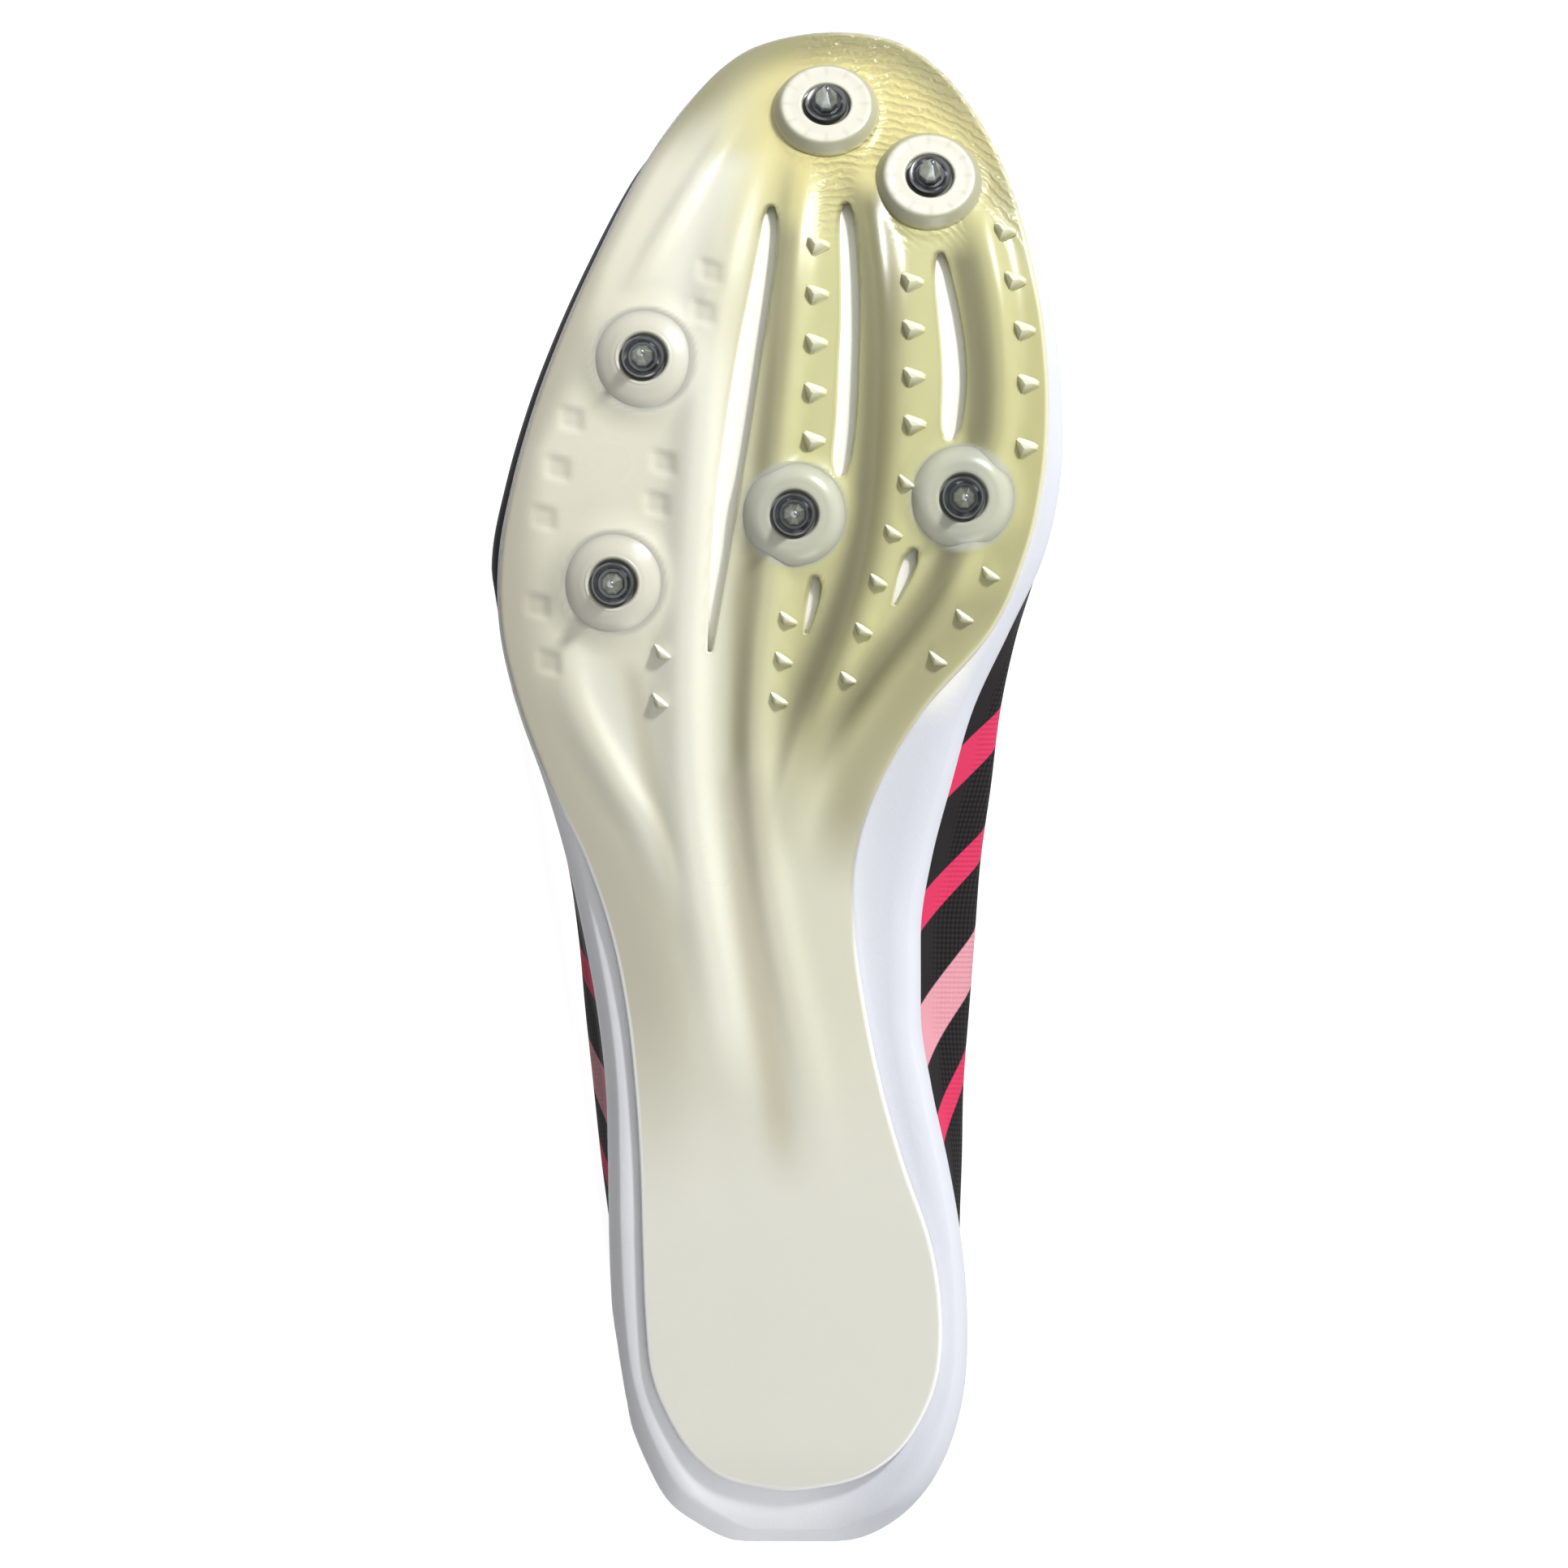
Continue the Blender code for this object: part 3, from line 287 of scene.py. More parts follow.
# The plate's ribs: height, half widths to the lateral and medial side in metres, then the
# station, side and height share of each point of the crest
RIBS = (
    ("fan_outer", 0.0012, 0.0018, 0.0022, (
        (0.945, -0.080, 0.0), (0.917, -0.121, 0.8), (0.882, -0.179, 1.0), (0.843, -0.240, 0.5),
        (0.815, -0.275, 0.0))),
    ("broad", 0.0019, 0.0046, 0.0040, (
        (0.945, -0.036, 0.0), (0.904, -0.071, 0.45), (0.856, -0.103, 0.7), (0.805, -0.124, 0.9),
        (0.751, -0.139, 1.0), (0.698, -0.150, 1.0), (0.644, -0.161, 1.0), (0.590, -0.170, 1.0),
        (0.537, -0.170, 1.0), (0.483, -0.161, 0.9), (0.430, -0.141, 0.8), (0.376, -0.114, 0.6),
        (0.322, -0.086, 0.35), (0.269, -0.057, 0.14), (0.200, -0.030, 0.0))),
    ("centre", 0.0015, 0.0030, 0.0036, (
        (0.925, 0.040, 0.0), (0.896, 0.029, 0.7), (0.858, 0.016, 1.0), (0.805, 0.004, 1.0),
        (0.762, -0.004, 1.0), (0.719, -0.014, 1.0), (0.633, -0.026, 1.0), (0.590, -0.040, 1.0),
        (0.537, -0.049, 1.0), (0.483, -0.043, 0.9), (0.430, -0.024, 0.7), (0.376, 0.004, 0.55),
        (0.322, 0.036, 0.4), (0.269, 0.061, 0.15), (0.220, 0.080, 0.0))),
    ("inner", 0.0018, 0.0030, 0.0038, (
        (0.915, 0.140, 0.0), (0.888, 0.147, 0.8), (0.848, 0.162, 1.0), (0.805, 0.171, 1.0),
        (0.762, 0.171, 1.0), (0.719, 0.166, 1.0), (0.676, 0.156, 1.0), (0.633, 0.134, 1.0),
        (0.590, 0.099, 1.0), (0.553, 0.058, 1.0), (0.515, 0.021, 0.8), (0.473, -0.006, 0.4),
        (0.440, -0.020, 0.0))),
    ("medial", 0.0019, 0.0036, 0.0028, (
        (0.895, 0.330, 0.0), (0.864, 0.352, 0.8), (0.831, 0.371, 1.0), (0.794, 0.383, 1.0),
        (0.751, 0.386, 1.0), (0.712, 0.372, 1.0), (0.653, 0.322, 1.0), (0.617, 0.262, 1.0),
        (0.585, 0.194, 1.0), (0.548, 0.121, 1.0), (0.513, 0.066, 0.8), (0.478, 0.028, 0.4),
        (0.445, 0.010, 0.0))),
    ("outer", 0.0013, 0.0040, 0.0026, (
        (0.600, -0.375, 0.0), (0.555, -0.360, 0.7), (0.505, -0.293, 1.0), (0.470, -0.236, 0.8),
        (0.430, -0.195, 0.4), (0.400, -0.175, 0.0))))

# Painted highlights on crests, painted shade in valleys and on rib flanks, partly the plastic's olive
# Painted light and shade on the clear plastic: colour, strength, half width, and stations and sides
PAINTED_SHADING = (
    ("outer_crest", (0.86, 0.85, 0.74), 0.80, 0.0030, (
        (0.600, -0.365), (0.569, -0.335), (0.505, -0.270), (0.455, -0.222), (0.42, -0.20))),
    ("broad_crest", (0.88, 0.88, 0.76), 0.85, 0.0052, (
        (0.925, -0.085), (0.900, -0.120), (0.842, -0.180), (0.805, -0.168), (0.767, -0.150),
        (0.719, -0.150), (0.622, -0.155), (0.569, -0.165), (0.505, -0.170), (0.403, -0.120),
        (0.330, -0.092), (0.28, -0.07))),
    ("outer_valley", (0.44, 0.41, 0.29), 0.50, 0.0020, (
        (0.590, -0.290), (0.569, -0.262), (0.505, -0.232), (0.451, -0.200), (0.41, -0.185))),
    ("middle_valley", (0.33, 0.31, 0.18), 0.85, 0.0023, (
        (0.880, 0.010), (0.842, 0.006), (0.805, 0.001), (0.767, -0.012), (0.719, -0.029), (0.660, -0.052),
        (0.622, -0.068), (0.569, -0.073), (0.505, -0.076), (0.46, -0.070))),
    ("shank_valley", (0.50, 0.46, 0.34), 0.75, 0.0036, (
        (0.520, -0.075), (0.480, -0.070), (0.430, -0.064), (0.403, -0.058), (0.349, -0.036),
        (0.296, -0.014), (0.250, 0.000), (0.22, 0.01))),
    ("medial_waist", (0.30, 0.28, 0.16), 0.66, 0.0055, (
        (0.640, 0.385), (0.600, 0.300), (0.569, 0.240), (0.535, 0.180), (0.505, 0.132), (0.470, 0.112),
        (0.420, 0.105))),
    ("medial_floor", (0.43, 0.42, 0.22), 0.60, 0.0050, (
        (0.680, 0.440), (0.655, 0.405), (0.620, 0.345), (0.585, 0.270))),
    ("inner_rib", (0.19, 0.18, 0.09), 0.95, 0.0040, (
        (0.902, 0.140), (0.880, 0.160), (0.842, 0.173), (0.805, 0.179), (0.767, 0.176), (0.719, 0.168),
        (0.660, 0.146), (0.622, 0.113), (0.569, 0.054), (0.535, 0.027), (0.50, 0.010))),
    ("medial_rib", (0.19, 0.18, 0.09), 0.95, 0.0027, (
        (0.866, 0.300), (0.842, 0.316), (0.805, 0.333), (0.767, 0.342), (0.730, 0.338), (0.680, 0.315),
        (0.622, 0.262), (0.569, 0.160), (0.535, 0.105), (0.49, 0.060))))

# How far the lateral edge's shade reaches in, metres, by station
EDGE_SHADE = ((0.10, 0.003), (0.24, 0.010), (0.30, 0.015), (0.40, 0.017), (0.50, 0.011), (0.57, 0.009),
              (0.62, 0.010), (0.72, 0.004), (0.767, 0.007), (0.80, 0.005), (0.84, 0.003), (1.00, 0.003))

# Slots through the plate: station, side and width in metres along each one
SLOTS = (
    ("long_lateral", (
        (0.8785, -0.022, 0.0012), (0.872, -0.0235, 0.0024), (0.858, -0.027, 0.0031),
        (0.826, -0.040, 0.0038), (0.789, -0.058, 0.0043), (0.751, -0.074, 0.0045),
        (0.719, -0.087, 0.0044), (0.687, -0.100, 0.0040), (0.655, -0.110, 0.0032),
        (0.622, -0.120, 0.0021), (0.588, -0.129, 0.0008))),
    ("long_middle", (
        (0.8805, 0.110, 0.0012), (0.874, 0.111, 0.0023), (0.862, 0.113, 0.0028),
        (0.837, 0.116, 0.0031), (0.805, 0.117, 0.0033), (0.773, 0.114, 0.0035),
        (0.740, 0.110, 0.0035), (0.716, 0.103, 0.0033), (0.706, 0.100, 0.0022))),
    ("long_medial", (
        (0.8475, 0.276, 0.0012), (0.841, 0.278, 0.0022), (0.829, 0.282, 0.0030),
        (0.810, 0.290, 0.0037), (0.789, 0.297, 0.0041), (0.767, 0.300, 0.0042),
        (0.746, 0.297, 0.0039), (0.734, 0.294, 0.0032), (0.729, 0.292, 0.0020))),
    ("short_middle", (
        (0.634, 0.056, 0.0010), (0.629, 0.056, 0.0018), (0.618, 0.051, 0.0018),
        (0.608, 0.045, 0.0013), (0.600, 0.040, 0.0006))),
    ("short_medial", (
        (0.652, 0.228, 0.0012), (0.646, 0.222, 0.0023), (0.636, 0.212, 0.0022),
        (0.627, 0.203, 0.0015), (0.619, 0.195, 0.0007))))

# Rows of grip teeth: form, station and side of the first and the last one, and how many
TOOTH_ROWS = (
    ("wedge", 0.853, 0.057, 0.724, 0.050, 5),
    ("wedge", 0.829, 0.222, 0.735, 0.226, 4),
    ("blade", 0.697, 0.214, 0.569, 0.110, 5),
    ("wedge", 0.862, 0.385, 0.797, 0.418, 3),
    ("wedge", 0.762, 0.424, 0.720, 0.422, 2),
    ("blade", 0.637, 0.360, 0.581, 0.268, 3),
    ("blade", 0.608, 0.004, 0.555, -0.012, 3),
    ("dimple", 0.837, -0.128, 0.810, -0.140, 2),
    ("dimple", 0.740, -0.372, 0.675, -0.420, 3),
    ("dimple", 0.617, -0.432, 0.580, -0.412, 2),
    ("dimple", 0.711, -0.210, 0.684, -0.222, 2),
    ("blade", 0.585, -0.212, 0.553, -0.216, 2))
# Each form's length along the shoe, width, height and turn
TOOTH_FORMS = {"wedge": (0.0038, 0.0048, 0.0019, -0.35), "blade": (0.0021, 0.0044, 0.0014, -0.60)}
TOOTH_OUTLINE = ((0.42, -0.50), (0.50, -0.30), (0.50, 0.40), (0.36, 0.52), (-0.40, 0.16), (-0.52, 0.02),
                 (-0.44, -0.10), (0.20, -0.52))
TOOTH_RINGS = 4
DIMPLE_SIZE = 0.0042
DIMPLE_DEPTH = 0.0005

# Chevrons on the upper's sides: station of the tip's fold, width along the shoe, lean, top share
CHEVRONS = (
    ("pink", MEDIAL, 0.620, 0.030, 0.130, 0.96),
    ("pink", MEDIAL, 0.535, 0.024, 0.140, 0.98),
    ("pale", MEDIAL, 0.455, 0.036, 0.145, 0.98),
    ("pink", MEDIAL, 0.390, 0.018, 0.145, 0.98),
    ("pink", LATERAL, 0.560, 0.026, 0.130, 0.96),
    ("pink", LATERAL, 0.480, 0.022, 0.140, 0.98),
    ("pale", LATERAL, 0.405, 0.034, 0.145, 0.98),
    ("pink", LATERAL, 0.345, 0.018, 0.145, 0.98))
CHEVRON_FOLD = 0.42


def smooth(low, high, value):
    share = np.clip((value - low) / (high - low), 0.0, 1.0)
    return share * share * (3 - 2 * share)


def unit(vectors):
    return vectors / np.maximum(np.linalg.norm(vectors, axis=-1, keepdims=True), 1e-12)


def spots(x, y, z):
    return np.stack(np.broadcast_arrays(x, y, z), axis=-1).astype(float)


def through(points, count):
    """A smooth curve through rows of numbers, with count rows between each two."""
    points = np.asarray(points, float)
    padded = np.concatenate(([2 * points[0] - points[1]], points, [2 * points[-1] - points[-2]]))
    made = []
    for a, b, c, d in zip(padded, padded[1:], padded[2:], padded[3:]):
        for u in np.arange(count) / count:
            made.append(b + 0.5 * u * (c - a + u * (2 * a - 5 * b + 4 * c - d + u * (3 * (b - c) + d - a))))
    return np.array([*made, points[-1]])


def between(first, last, count):
    """The rows between two rows of points, count steps apart."""
    return [first + (last - first) * k / count for k in range(1, count)]


def placed(points, place):
    """Points moved by a 4x4 matrix."""
    return points @ np.array(place.to_3x3()).T + np.array(place.translation)


def ground(x, y):
    """The plate's ground face without its ribs."""
    at = x / LENGTH
    lateral, medial = (FOAM(side, at) * BALL_WIDTH for side in ("lateral", "medial"))
    across = np.minimum(np.abs(2 * y - lateral - medial) / (medial - lateral), 1.0)
    return (TOE_SPRING * PROFILE("spring", at) + ARCH_RISE * PROFILE("arch", at)
            + HEEL_ROLL * PROFILE("roll", at) + PLATE_CROWN * PROFILE("crown", at) * across ** 2)


def footbed(x):
    """The midsole's top."""
    at = x / LENGTH
    return (TOE_SPRING * PROFILE("spring", at) + ARCH_RISE * PROFILE("arch", at)
            + BALL_STACK + (HEEL_STACK - BALL_STACK) * PROFILE("heel", at))


def plate_frame(x, y, depth=0.0):
    """Places a piece on the plate: its z out of the plate, its x towards the toe."""
    reach = SLOPE_REACH
    along = (ground(x + reach, y) - ground(x - reach, y)) / (2 * reach)
    across = (ground(x, y + reach) - ground(x, y - reach)) / (2 * reach)
    out = Vector((along, across, -1.0)).normalized()
    toe = Vector((1.0, 0.0, 0.0))
    toe = (toe - out * toe.dot(out)).normalized()
    place = Matrix((toe, out.cross(toe), out)).transposed().to_4x4()
    place.translation = Vector((x, y, ground(x, y))) - out * depth
    return place


def outline_point(table, side, at, inset=0.0, prefix=""):
    """A plan point of an outline, moved in from its edge."""
    lateral, medial = (table(prefix + name, at) * BALL_WIDTH for name in ("lateral", "medial"))
    middle = LENGTH / 2
    x = middle + (at * LENGTH - middle) * (1 - inset / middle)
    inset = np.minimum(inset, 0.42 * (medial - lateral))
    return x, (lateral if side == LATERAL else medial) - side * inset


def feather(side, at):
    """Where the upper's inner face meets the midsole."""
    x, y = outline_point(FOAM, side, at, FOAM_TOP_INSET + UPPER_INSET + WALL)
    return spots(x, y, footbed(x) + GAP)


def girth(side, at):
    """The widest line of the upper's inner face."""
    x, y = outline_point(UPPER, side, at, WALL, "girth_")
    name = "rise_lateral" if side == LATERAL else "rise_medial"
    return spots(x, y, footbed(x) + GIRTH_RISE * UPPER(name, at))


def topline(side, at):
    """The upper's inner edge at the collar and throat."""
    name = "top_lateral" if side == LATERAL else "top_medial"
    height = HEEL_HEIGHT * UPPER("by_heel", at) + INSTEP_HEIGHT * UPPER("by_instep", at)
    return spots(UPPER("top_at", at) * LENGTH, UPPER(name, at) * BALL_WIDTH, height)


def over_wall(side, at, share):
    """Points on the upper's inner face, 0 at the girth and 1 at the topline."""
    at, share = np.broadcast_arrays(np.asarray(at, float), np.asarray(share, float))
    low, high = girth(side, at), topline(side, at)
    full, slope = UPPER("full", at), UPPER("slope", at)
    end = UPPER("curl", at) * pi / 2
    turn = share * end
    inward = (1 - np.maximum(np.cos(turn), 0.0) ** full) / (1 - np.maximum(np.cos(end), 0.0) ** full)
    climb = (np.sin(turn) / np.sin(end)) ** full
    climb = (1 - slope) * climb + slope * inward
    return low + (high - low) * np.stack((inward, inward, climb), axis=-1)


def under_wall(side, at, share):
    """Points on the upper's inner face, 0 just over the feather line and 1 at the girth."""
    at, share = np.broadcast_arrays(np.asarray(at, float), np.asarray(share, float))
    foot = feather(side, at)
    reach = SLOPE_REACH
    rise = (footbed(foot[..., 0] + reach) - footbed(foot[..., 0] - reach)) / (2 * reach)
    low = foot + unit(spots(-rise, 0.0, 1.0)) * FEATHER_HEIGHT
    high = girth(side, at)
    out = (1 - np.cos(pi * share)) / 2
    return low + (high - low) * np.stack((out, out, share), axis=-1)


def wall_out(side, at, share):
    """The direction out of the upper's wall."""
    reach = 0.01
    along = over_wall(side, at + reach, share) - over_wall(side, at - reach, share)
    up = over_wall(side, at, np.minimum(share + reach, 1.0)) - over_wall(side, at, share - reach)
    return unit(np.cross(along, up)) * -side


def throat_edge(side, x):
    """The topline where it passes a station of the shoe, along the throat or collar."""
    low, high = 0.02, 0.999
    for _ in range(30):
        middle = (low + high) / 2
        if UPPER("top_at", middle) * LENGTH < x:
            low = middle
        else:
            high = middle
    return topline(side, low)


def shoe_place():
    """How the frame's solids lie: the rigid turn that fits the six pins' centres."""
    steps = ((0.0, PIN_COLLAR_RADIUS), (PIN_COLLAR_HEIGHT, PIN_COLLAR_RADIUS),
             (PIN_COLLAR_HEIGHT + PIN_BASE_RADIUS - PIN_TIP_RADIUS, PIN_BASE_RADIUS),
             (PIN_LENGTH, PIN_TIP_RADIUS))
    heights = np.concatenate([np.linspace(a[0], b[0], 400) for a, b in zip(steps, steps[1:])])
    radii = np.concatenate([np.linspace(a[1], b[1], 400) for a, b in zip(steps, steps[1:])])
    middle = np.trapz(radii ** 2 * heights, heights) / np.trapz(radii ** 2, heights)
    ours, theirs = [], []
    for name, at, side, _ in SPIKES:
        spot = plate_frame(at * LENGTH, side * BALL_WIDTH, -PIN_SEAT) @ Vector((0, 0, middle))
        ours.append(spot)
        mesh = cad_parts["spike_pin_" + name].data
        mesh.calc_loop_triangles()
        corners = np.array([[mesh.vertices[i].co for i in part.vertices] for part in mesh.loop_triangles])
        volumes = np.einsum("ij,ij->i", corners[:, 0], np.cross(corners[:, 1], corners[:, 2]))
        theirs.append((corners.sum(axis=1) / 4 * volumes[:, None]).sum(axis=0) / volumes.sum())
    ours, theirs = np.array(ours), np.array(theirs)
    left, _, right = np.linalg.svd((ours - ours.mean(0)).T @ (theirs - theirs.mean(0)))
    sign = np.sign(np.linalg.det(right.T @ left.T))
    turn = right.T @ np.diag((1.0, 1.0, sign)) @ left.T
    place = Matrix(turn.tolist()).to_4x4()
    place.translation = Vector(theirs.mean(0) - turn @ ours.mean(0))
    return place


SHOE = shoe_place()
DOWN_ROW = np.array(SHOE)[2]


def pressed(points):
    """Points in the shoe's frame, moved up to the floor where they lie under it."""
    low = np.maximum(-(points @ DOWN_ROW[:3] + DOWN_ROW[3]), 0.0)
    return points + low[..., None] * DOWN_ROW[:3]


def grid_faces(rows, columns, around=False, start=0):
    """Quads of a grid of points, its columns closed into a ring if asked."""
    r, c = np.meshgrid(np.arange(rows - 1), np.arange(columns if around else columns - 1), indexing="ij")
    after = (c + 1) % columns
    return (np.stack((r * columns + c, r * columns + after, (r + 1) * columns + after,
                      (r + 1) * columns + c), axis=-1) + start).reshape(-1, 4)


def add_object(name, data):
    made = bpy.data.objects.new(name, data)
    bpy.context.scene.collection.objects.link(made)
    return made


def add_mesh(name, points, faces, sharp=pi / 5, turn_out=True):
    mesh = bpy.data.meshes.new(name)
    mesh.from_pydata(np.asarray(points).reshape(-1, 3).tolist(), [], [list(face) for face in faces])
    if turn_out:
        form = bmesh.new()
        form.from_mesh(mesh)
        bmesh.ops.recalc_face_normals(form, faces=form.faces)
        form.to_mesh(mesh)
        form.free()
    mesh.shade_smooth()
    mesh.set_sharp_from_angle(angle=sharp)
    return add_object(name, mesh)


def loft(name, sections, sharp=pi / 5, levels=0, across=0):
    """A closed solid through closed sections, an array of rows by points by xyz.

    With levels a side and points across its top, an end face follows the side profile.
    """
    rows, size = sections.shape[:2]
    end = [list(range(size))]
    if levels:
        last = 2 * levels + across - 1
        end = [[k, k + 1, last - k - 1, last - k] for k in range(1, levels - 2)]
        end.append(list(range(levels - 2, levels + across + 2)))
        end.append([0, 1, last - 1, *range(last, size)])
    faces = grid_faces(rows, size, around=True).tolist()
    for face in end:
        faces += [face[::-1], [(rows - 1) * size + k for k in face]]
    return add_mesh(name, sections, faces, sharp)


def locations(mesh):
    found = np.empty(len(mesh.vertices) * 3)
    mesh.vertices.foreach_get("co", found)
    return found.reshape(-1, 3)


def settle(item):
    """Applies an object's modifiers and presses it flat where it lies on the floor."""
    graph = bpy.context.evaluated_depsgraph_get()
    mesh = bpy.data.meshes.new_from_object(item.evaluated_get(graph))
    item.modifiers.clear()
    item.data = mesh
    mesh.vertices.foreach_set("co", pressed(locations(mesh)).ravel())
    mesh.update()
    return item


def cut(item, tool):
    step = item.modifiers.new("cut", "BOOLEAN")
    step.object = tool
    step.operation = "DIFFERENCE"
    step.solver = "EXACT"
    settle(item)
    bpy.data.objects.remove(tool, do_unlink=True)
    return item


def join(item, *others):
    """Joins other meshes into the first one."""
    form = bmesh.new()
    form.from_mesh(item.data)
    for other in others:
        form.from_mesh(other.data)
        bpy.data.objects.remove(other, do_unlink=True)
    form.to_mesh(item.data)
    form.free()
    return item


def paint(item, name, values, kind="FLOAT"):
    """Keeps a number, vector or colour for each point, for the material to read."""
    layer = item.data.attributes.new(name, kind, "POINT")
    values = np.asarray(values, np.float32)
    if kind == "FLOAT_COLOR":
        values = np.concatenate((values, np.ones((len(values), 1), np.float32)), axis=1)
    field = {"FLOAT": "value", "FLOAT_VECTOR": "vector", "FLOAT_COLOR": "color"}[kind]
    layer.data.foreach_set(field, values.ravel())


def lay(item, material_slot, *nodes):
    """Lays a piece down as the shoe lies, on the shoe's one body."""
    item.data.transform(SHOE)
    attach(item, "root")
    if nodes:
        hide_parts(*nodes)
    return item


def plug(tree, socket, value):
    """Links a node's output into a socket, or sets the socket to a value."""
    if isinstance(value, bpy.types.NodeSocket):
        tree.links.new(value, socket)
    else:
        socket.default_value = value


def add(tree, kind, inputs=(), **settings):
    """A shader node with its settings, and its inputs set or linked."""
    node = tree.nodes.new("ShaderNode" + kind)
    for key, value in settings.items():
        setattr(node, key, value)
    for key, value in dict(inputs).items():
        plug(tree, node.inputs[key], value)
    return node


def ramp(tree, factor, stops):
    node = add(tree, "ValToRGB", {"Fac": factor})
    while len(node.color_ramp.elements) < len(stops):
        node.color_ramp.elements.new(0.5)
    for element, (place, colour) in zip(node.color_ramp.elements, stops):
        element.position = place
        element.color = (*colour, 1.0)
    return node.outputs["Color"]


def mix(tree, factor, first, second):
    node = add(tree, "Mix", data_type="RGBA")
    for socket, value in ((0, factor), (6, first), (7, second)):
        plug(tree, node.inputs[socket], (*value, 1.0) if isinstance(value, tuple) else value)
    return node.outputs[2]


def calc(tree, operation, *values):
    node = add(tree, "Math", operation=operation)
    for socket, value in zip(node.inputs, values):
        plug(tree, socket, value)
    return node.outputs[0]


def times(tree, first, second):
    return calc(tree, "MULTIPLY", first, second)


def spread(tree, value, to_low, to_high, from_low=0.0, from_high=1.0):
    """A value's range mapped to another one."""
    return add(tree, "MapRange", {"Value": value, "From Min": from_low, "From Max": from_high,
                                  "To Min": to_low, "To Max": to_high}).outputs["Result"]


def feed(tree, shader, **sockets):
    """Links values into a shader; an input's name is written with underscores."""
    for key, socket in sockets.items():
        tree.links.new(socket, shader.inputs[key.replace("_", " ")])


def darker(colour, share):
    return tuple(share * c for c in colour)


def weave_of(tree, run, scale):
    """Threads that cross, 0 to 1, at a scale in radians a metre."""
    parts = add(tree, "SeparateXYZ", {"Vector": run})
    waves = [calc(tree, "SINE", times(tree, parts.outputs[axis], scale)) for axis in (0, 1)]
    return calc(tree, "MULTIPLY_ADD", times(tree, *waves), 0.5, 0.5)


def read(tree, name, output="Fac"):
    return add(tree, "Attribute", attribute_name=name).outputs[output]


def bump(tree, height, distance, strength=1.0, normal=None):
    inputs = {"Height": height, "Distance": distance, "Strength": strength}
    if normal:
        inputs["Normal"] = normal
    return add(tree, "Bump", inputs).outputs["Normal"]


def noise(tree, where, scale, detail=2.0, roughness=0.5):
    return add(tree, "TexNoise", {"Vector": where, "Scale": scale, "Detail": detail,
                                  "Roughness": roughness}).outputs["Fac"]


def material(name, **inputs):
    """A Principled material; an input's name is written with underscores."""
    made = bpy.data.materials.new(name)
    made.use_nodes = True
    shader = made.node_tree.nodes["Principled BSDF"]
    for key, value in inputs.items():
        key = key.replace("_", " ")
        shader.inputs[key].default_value = (*value, 1.0) if key.endswith("Color") else value
    return made, made.node_tree, shader


def place_of(tree):
    """The shoe's own coordinates, metres."""
    laid = add(tree, "TexCoord").outputs["Object"]
    return add(tree, "Mapping", {"Vector": laid, "Location": SHOE.to_translation(),
                                 "Rotation": SHOE.to_euler()}, vector_type="TEXTURE").outputs["Vector"]


def plate_plastic():
    made, tree, shader = material(
        "plate_plastic", Roughness=0.32, Coat_Weight=0.28, Coat_Roughness=0.28, IOR=1.45,
        Subsurface_Weight=0.22, Subsurface_Radius=(1.0, 0.85, 0.5), Subsurface_Scale=0.0014)
    where = place_of(tree)
    cloud = noise(tree, where, 38.0, 2.0, 0.4)
    mottle = times(tree, noise(tree, where, 420.0, 3.0, 0.6), 0.22)
    brushed = read(tree, "brushed")
    middle = add(tree, "Mapping", {"Vector": where, "Location": (-0.222, -0.012, 0.0)}).outputs["Vector"]
    hairs = add(tree, "TexWave", {"Vector": middle, "Scale": 205.0, "Distortion": 8.0, "Detail": 3.0,
                                  "Detail Scale": 0.8, "Detail Roughness": 0.6},
                wave_type="RINGS", rings_direction="Z", wave_profile="SIN").outputs["Fac"]
    dark = times(tree, calc(tree, "SUBTRACT", 1.0, hairs), brushed)
    # The plastic's own colour with its painted light and shade, from plate_colours
    tint_and_painted_light = read(tree, "tint_and_painted_light", "Color")
    for share, colour in ((times(tree, cloud, 0.10), (0.55, 0.52, 0.38)),
                          (times(tree, read(tree, "disc"), mottle), (0.62, 0.60, 0.52)),
                          (times(tree, dark, 0.38), (0.40, 0.35, 0.15))):
        tint_and_painted_light = mix(tree, share, tint_and_painted_light, colour)
    fine = bump(tree, noise(tree, where, 1500.0, 2.0), 0.00002, 0.5)
    soft = bump(tree, noise(tree, where, 90.0, 1.0), 0.0003, 0.25, fine)
    feed(tree, shader, Base_Color=tint_and_painted_light, Roughness=spread(tree, cloud, 0.22, 0.40),
         Normal=bump(tree, times(tree, hairs, brushed), 0.00030, 0.9, soft))
    return made


def steel(name, colour, roughness):
    made, tree, shader = material(name, Base_Color=colour, Metallic=1.0, Roughness=roughness)
    worn = noise(tree, place_of(tree), 900.0, 4.0, 0.7)
    bright = tuple(min(1.25 * c, 1) for c in colour)
    feed(tree, shader, Base_Color=mix(tree, worn, darker(colour, 0.75), bright),
         Roughness=spread(tree, worn, roughness - 0.08, roughness + 0.12),
         Normal=bump(tree, worn, 0.00003, 0.6))
    return made


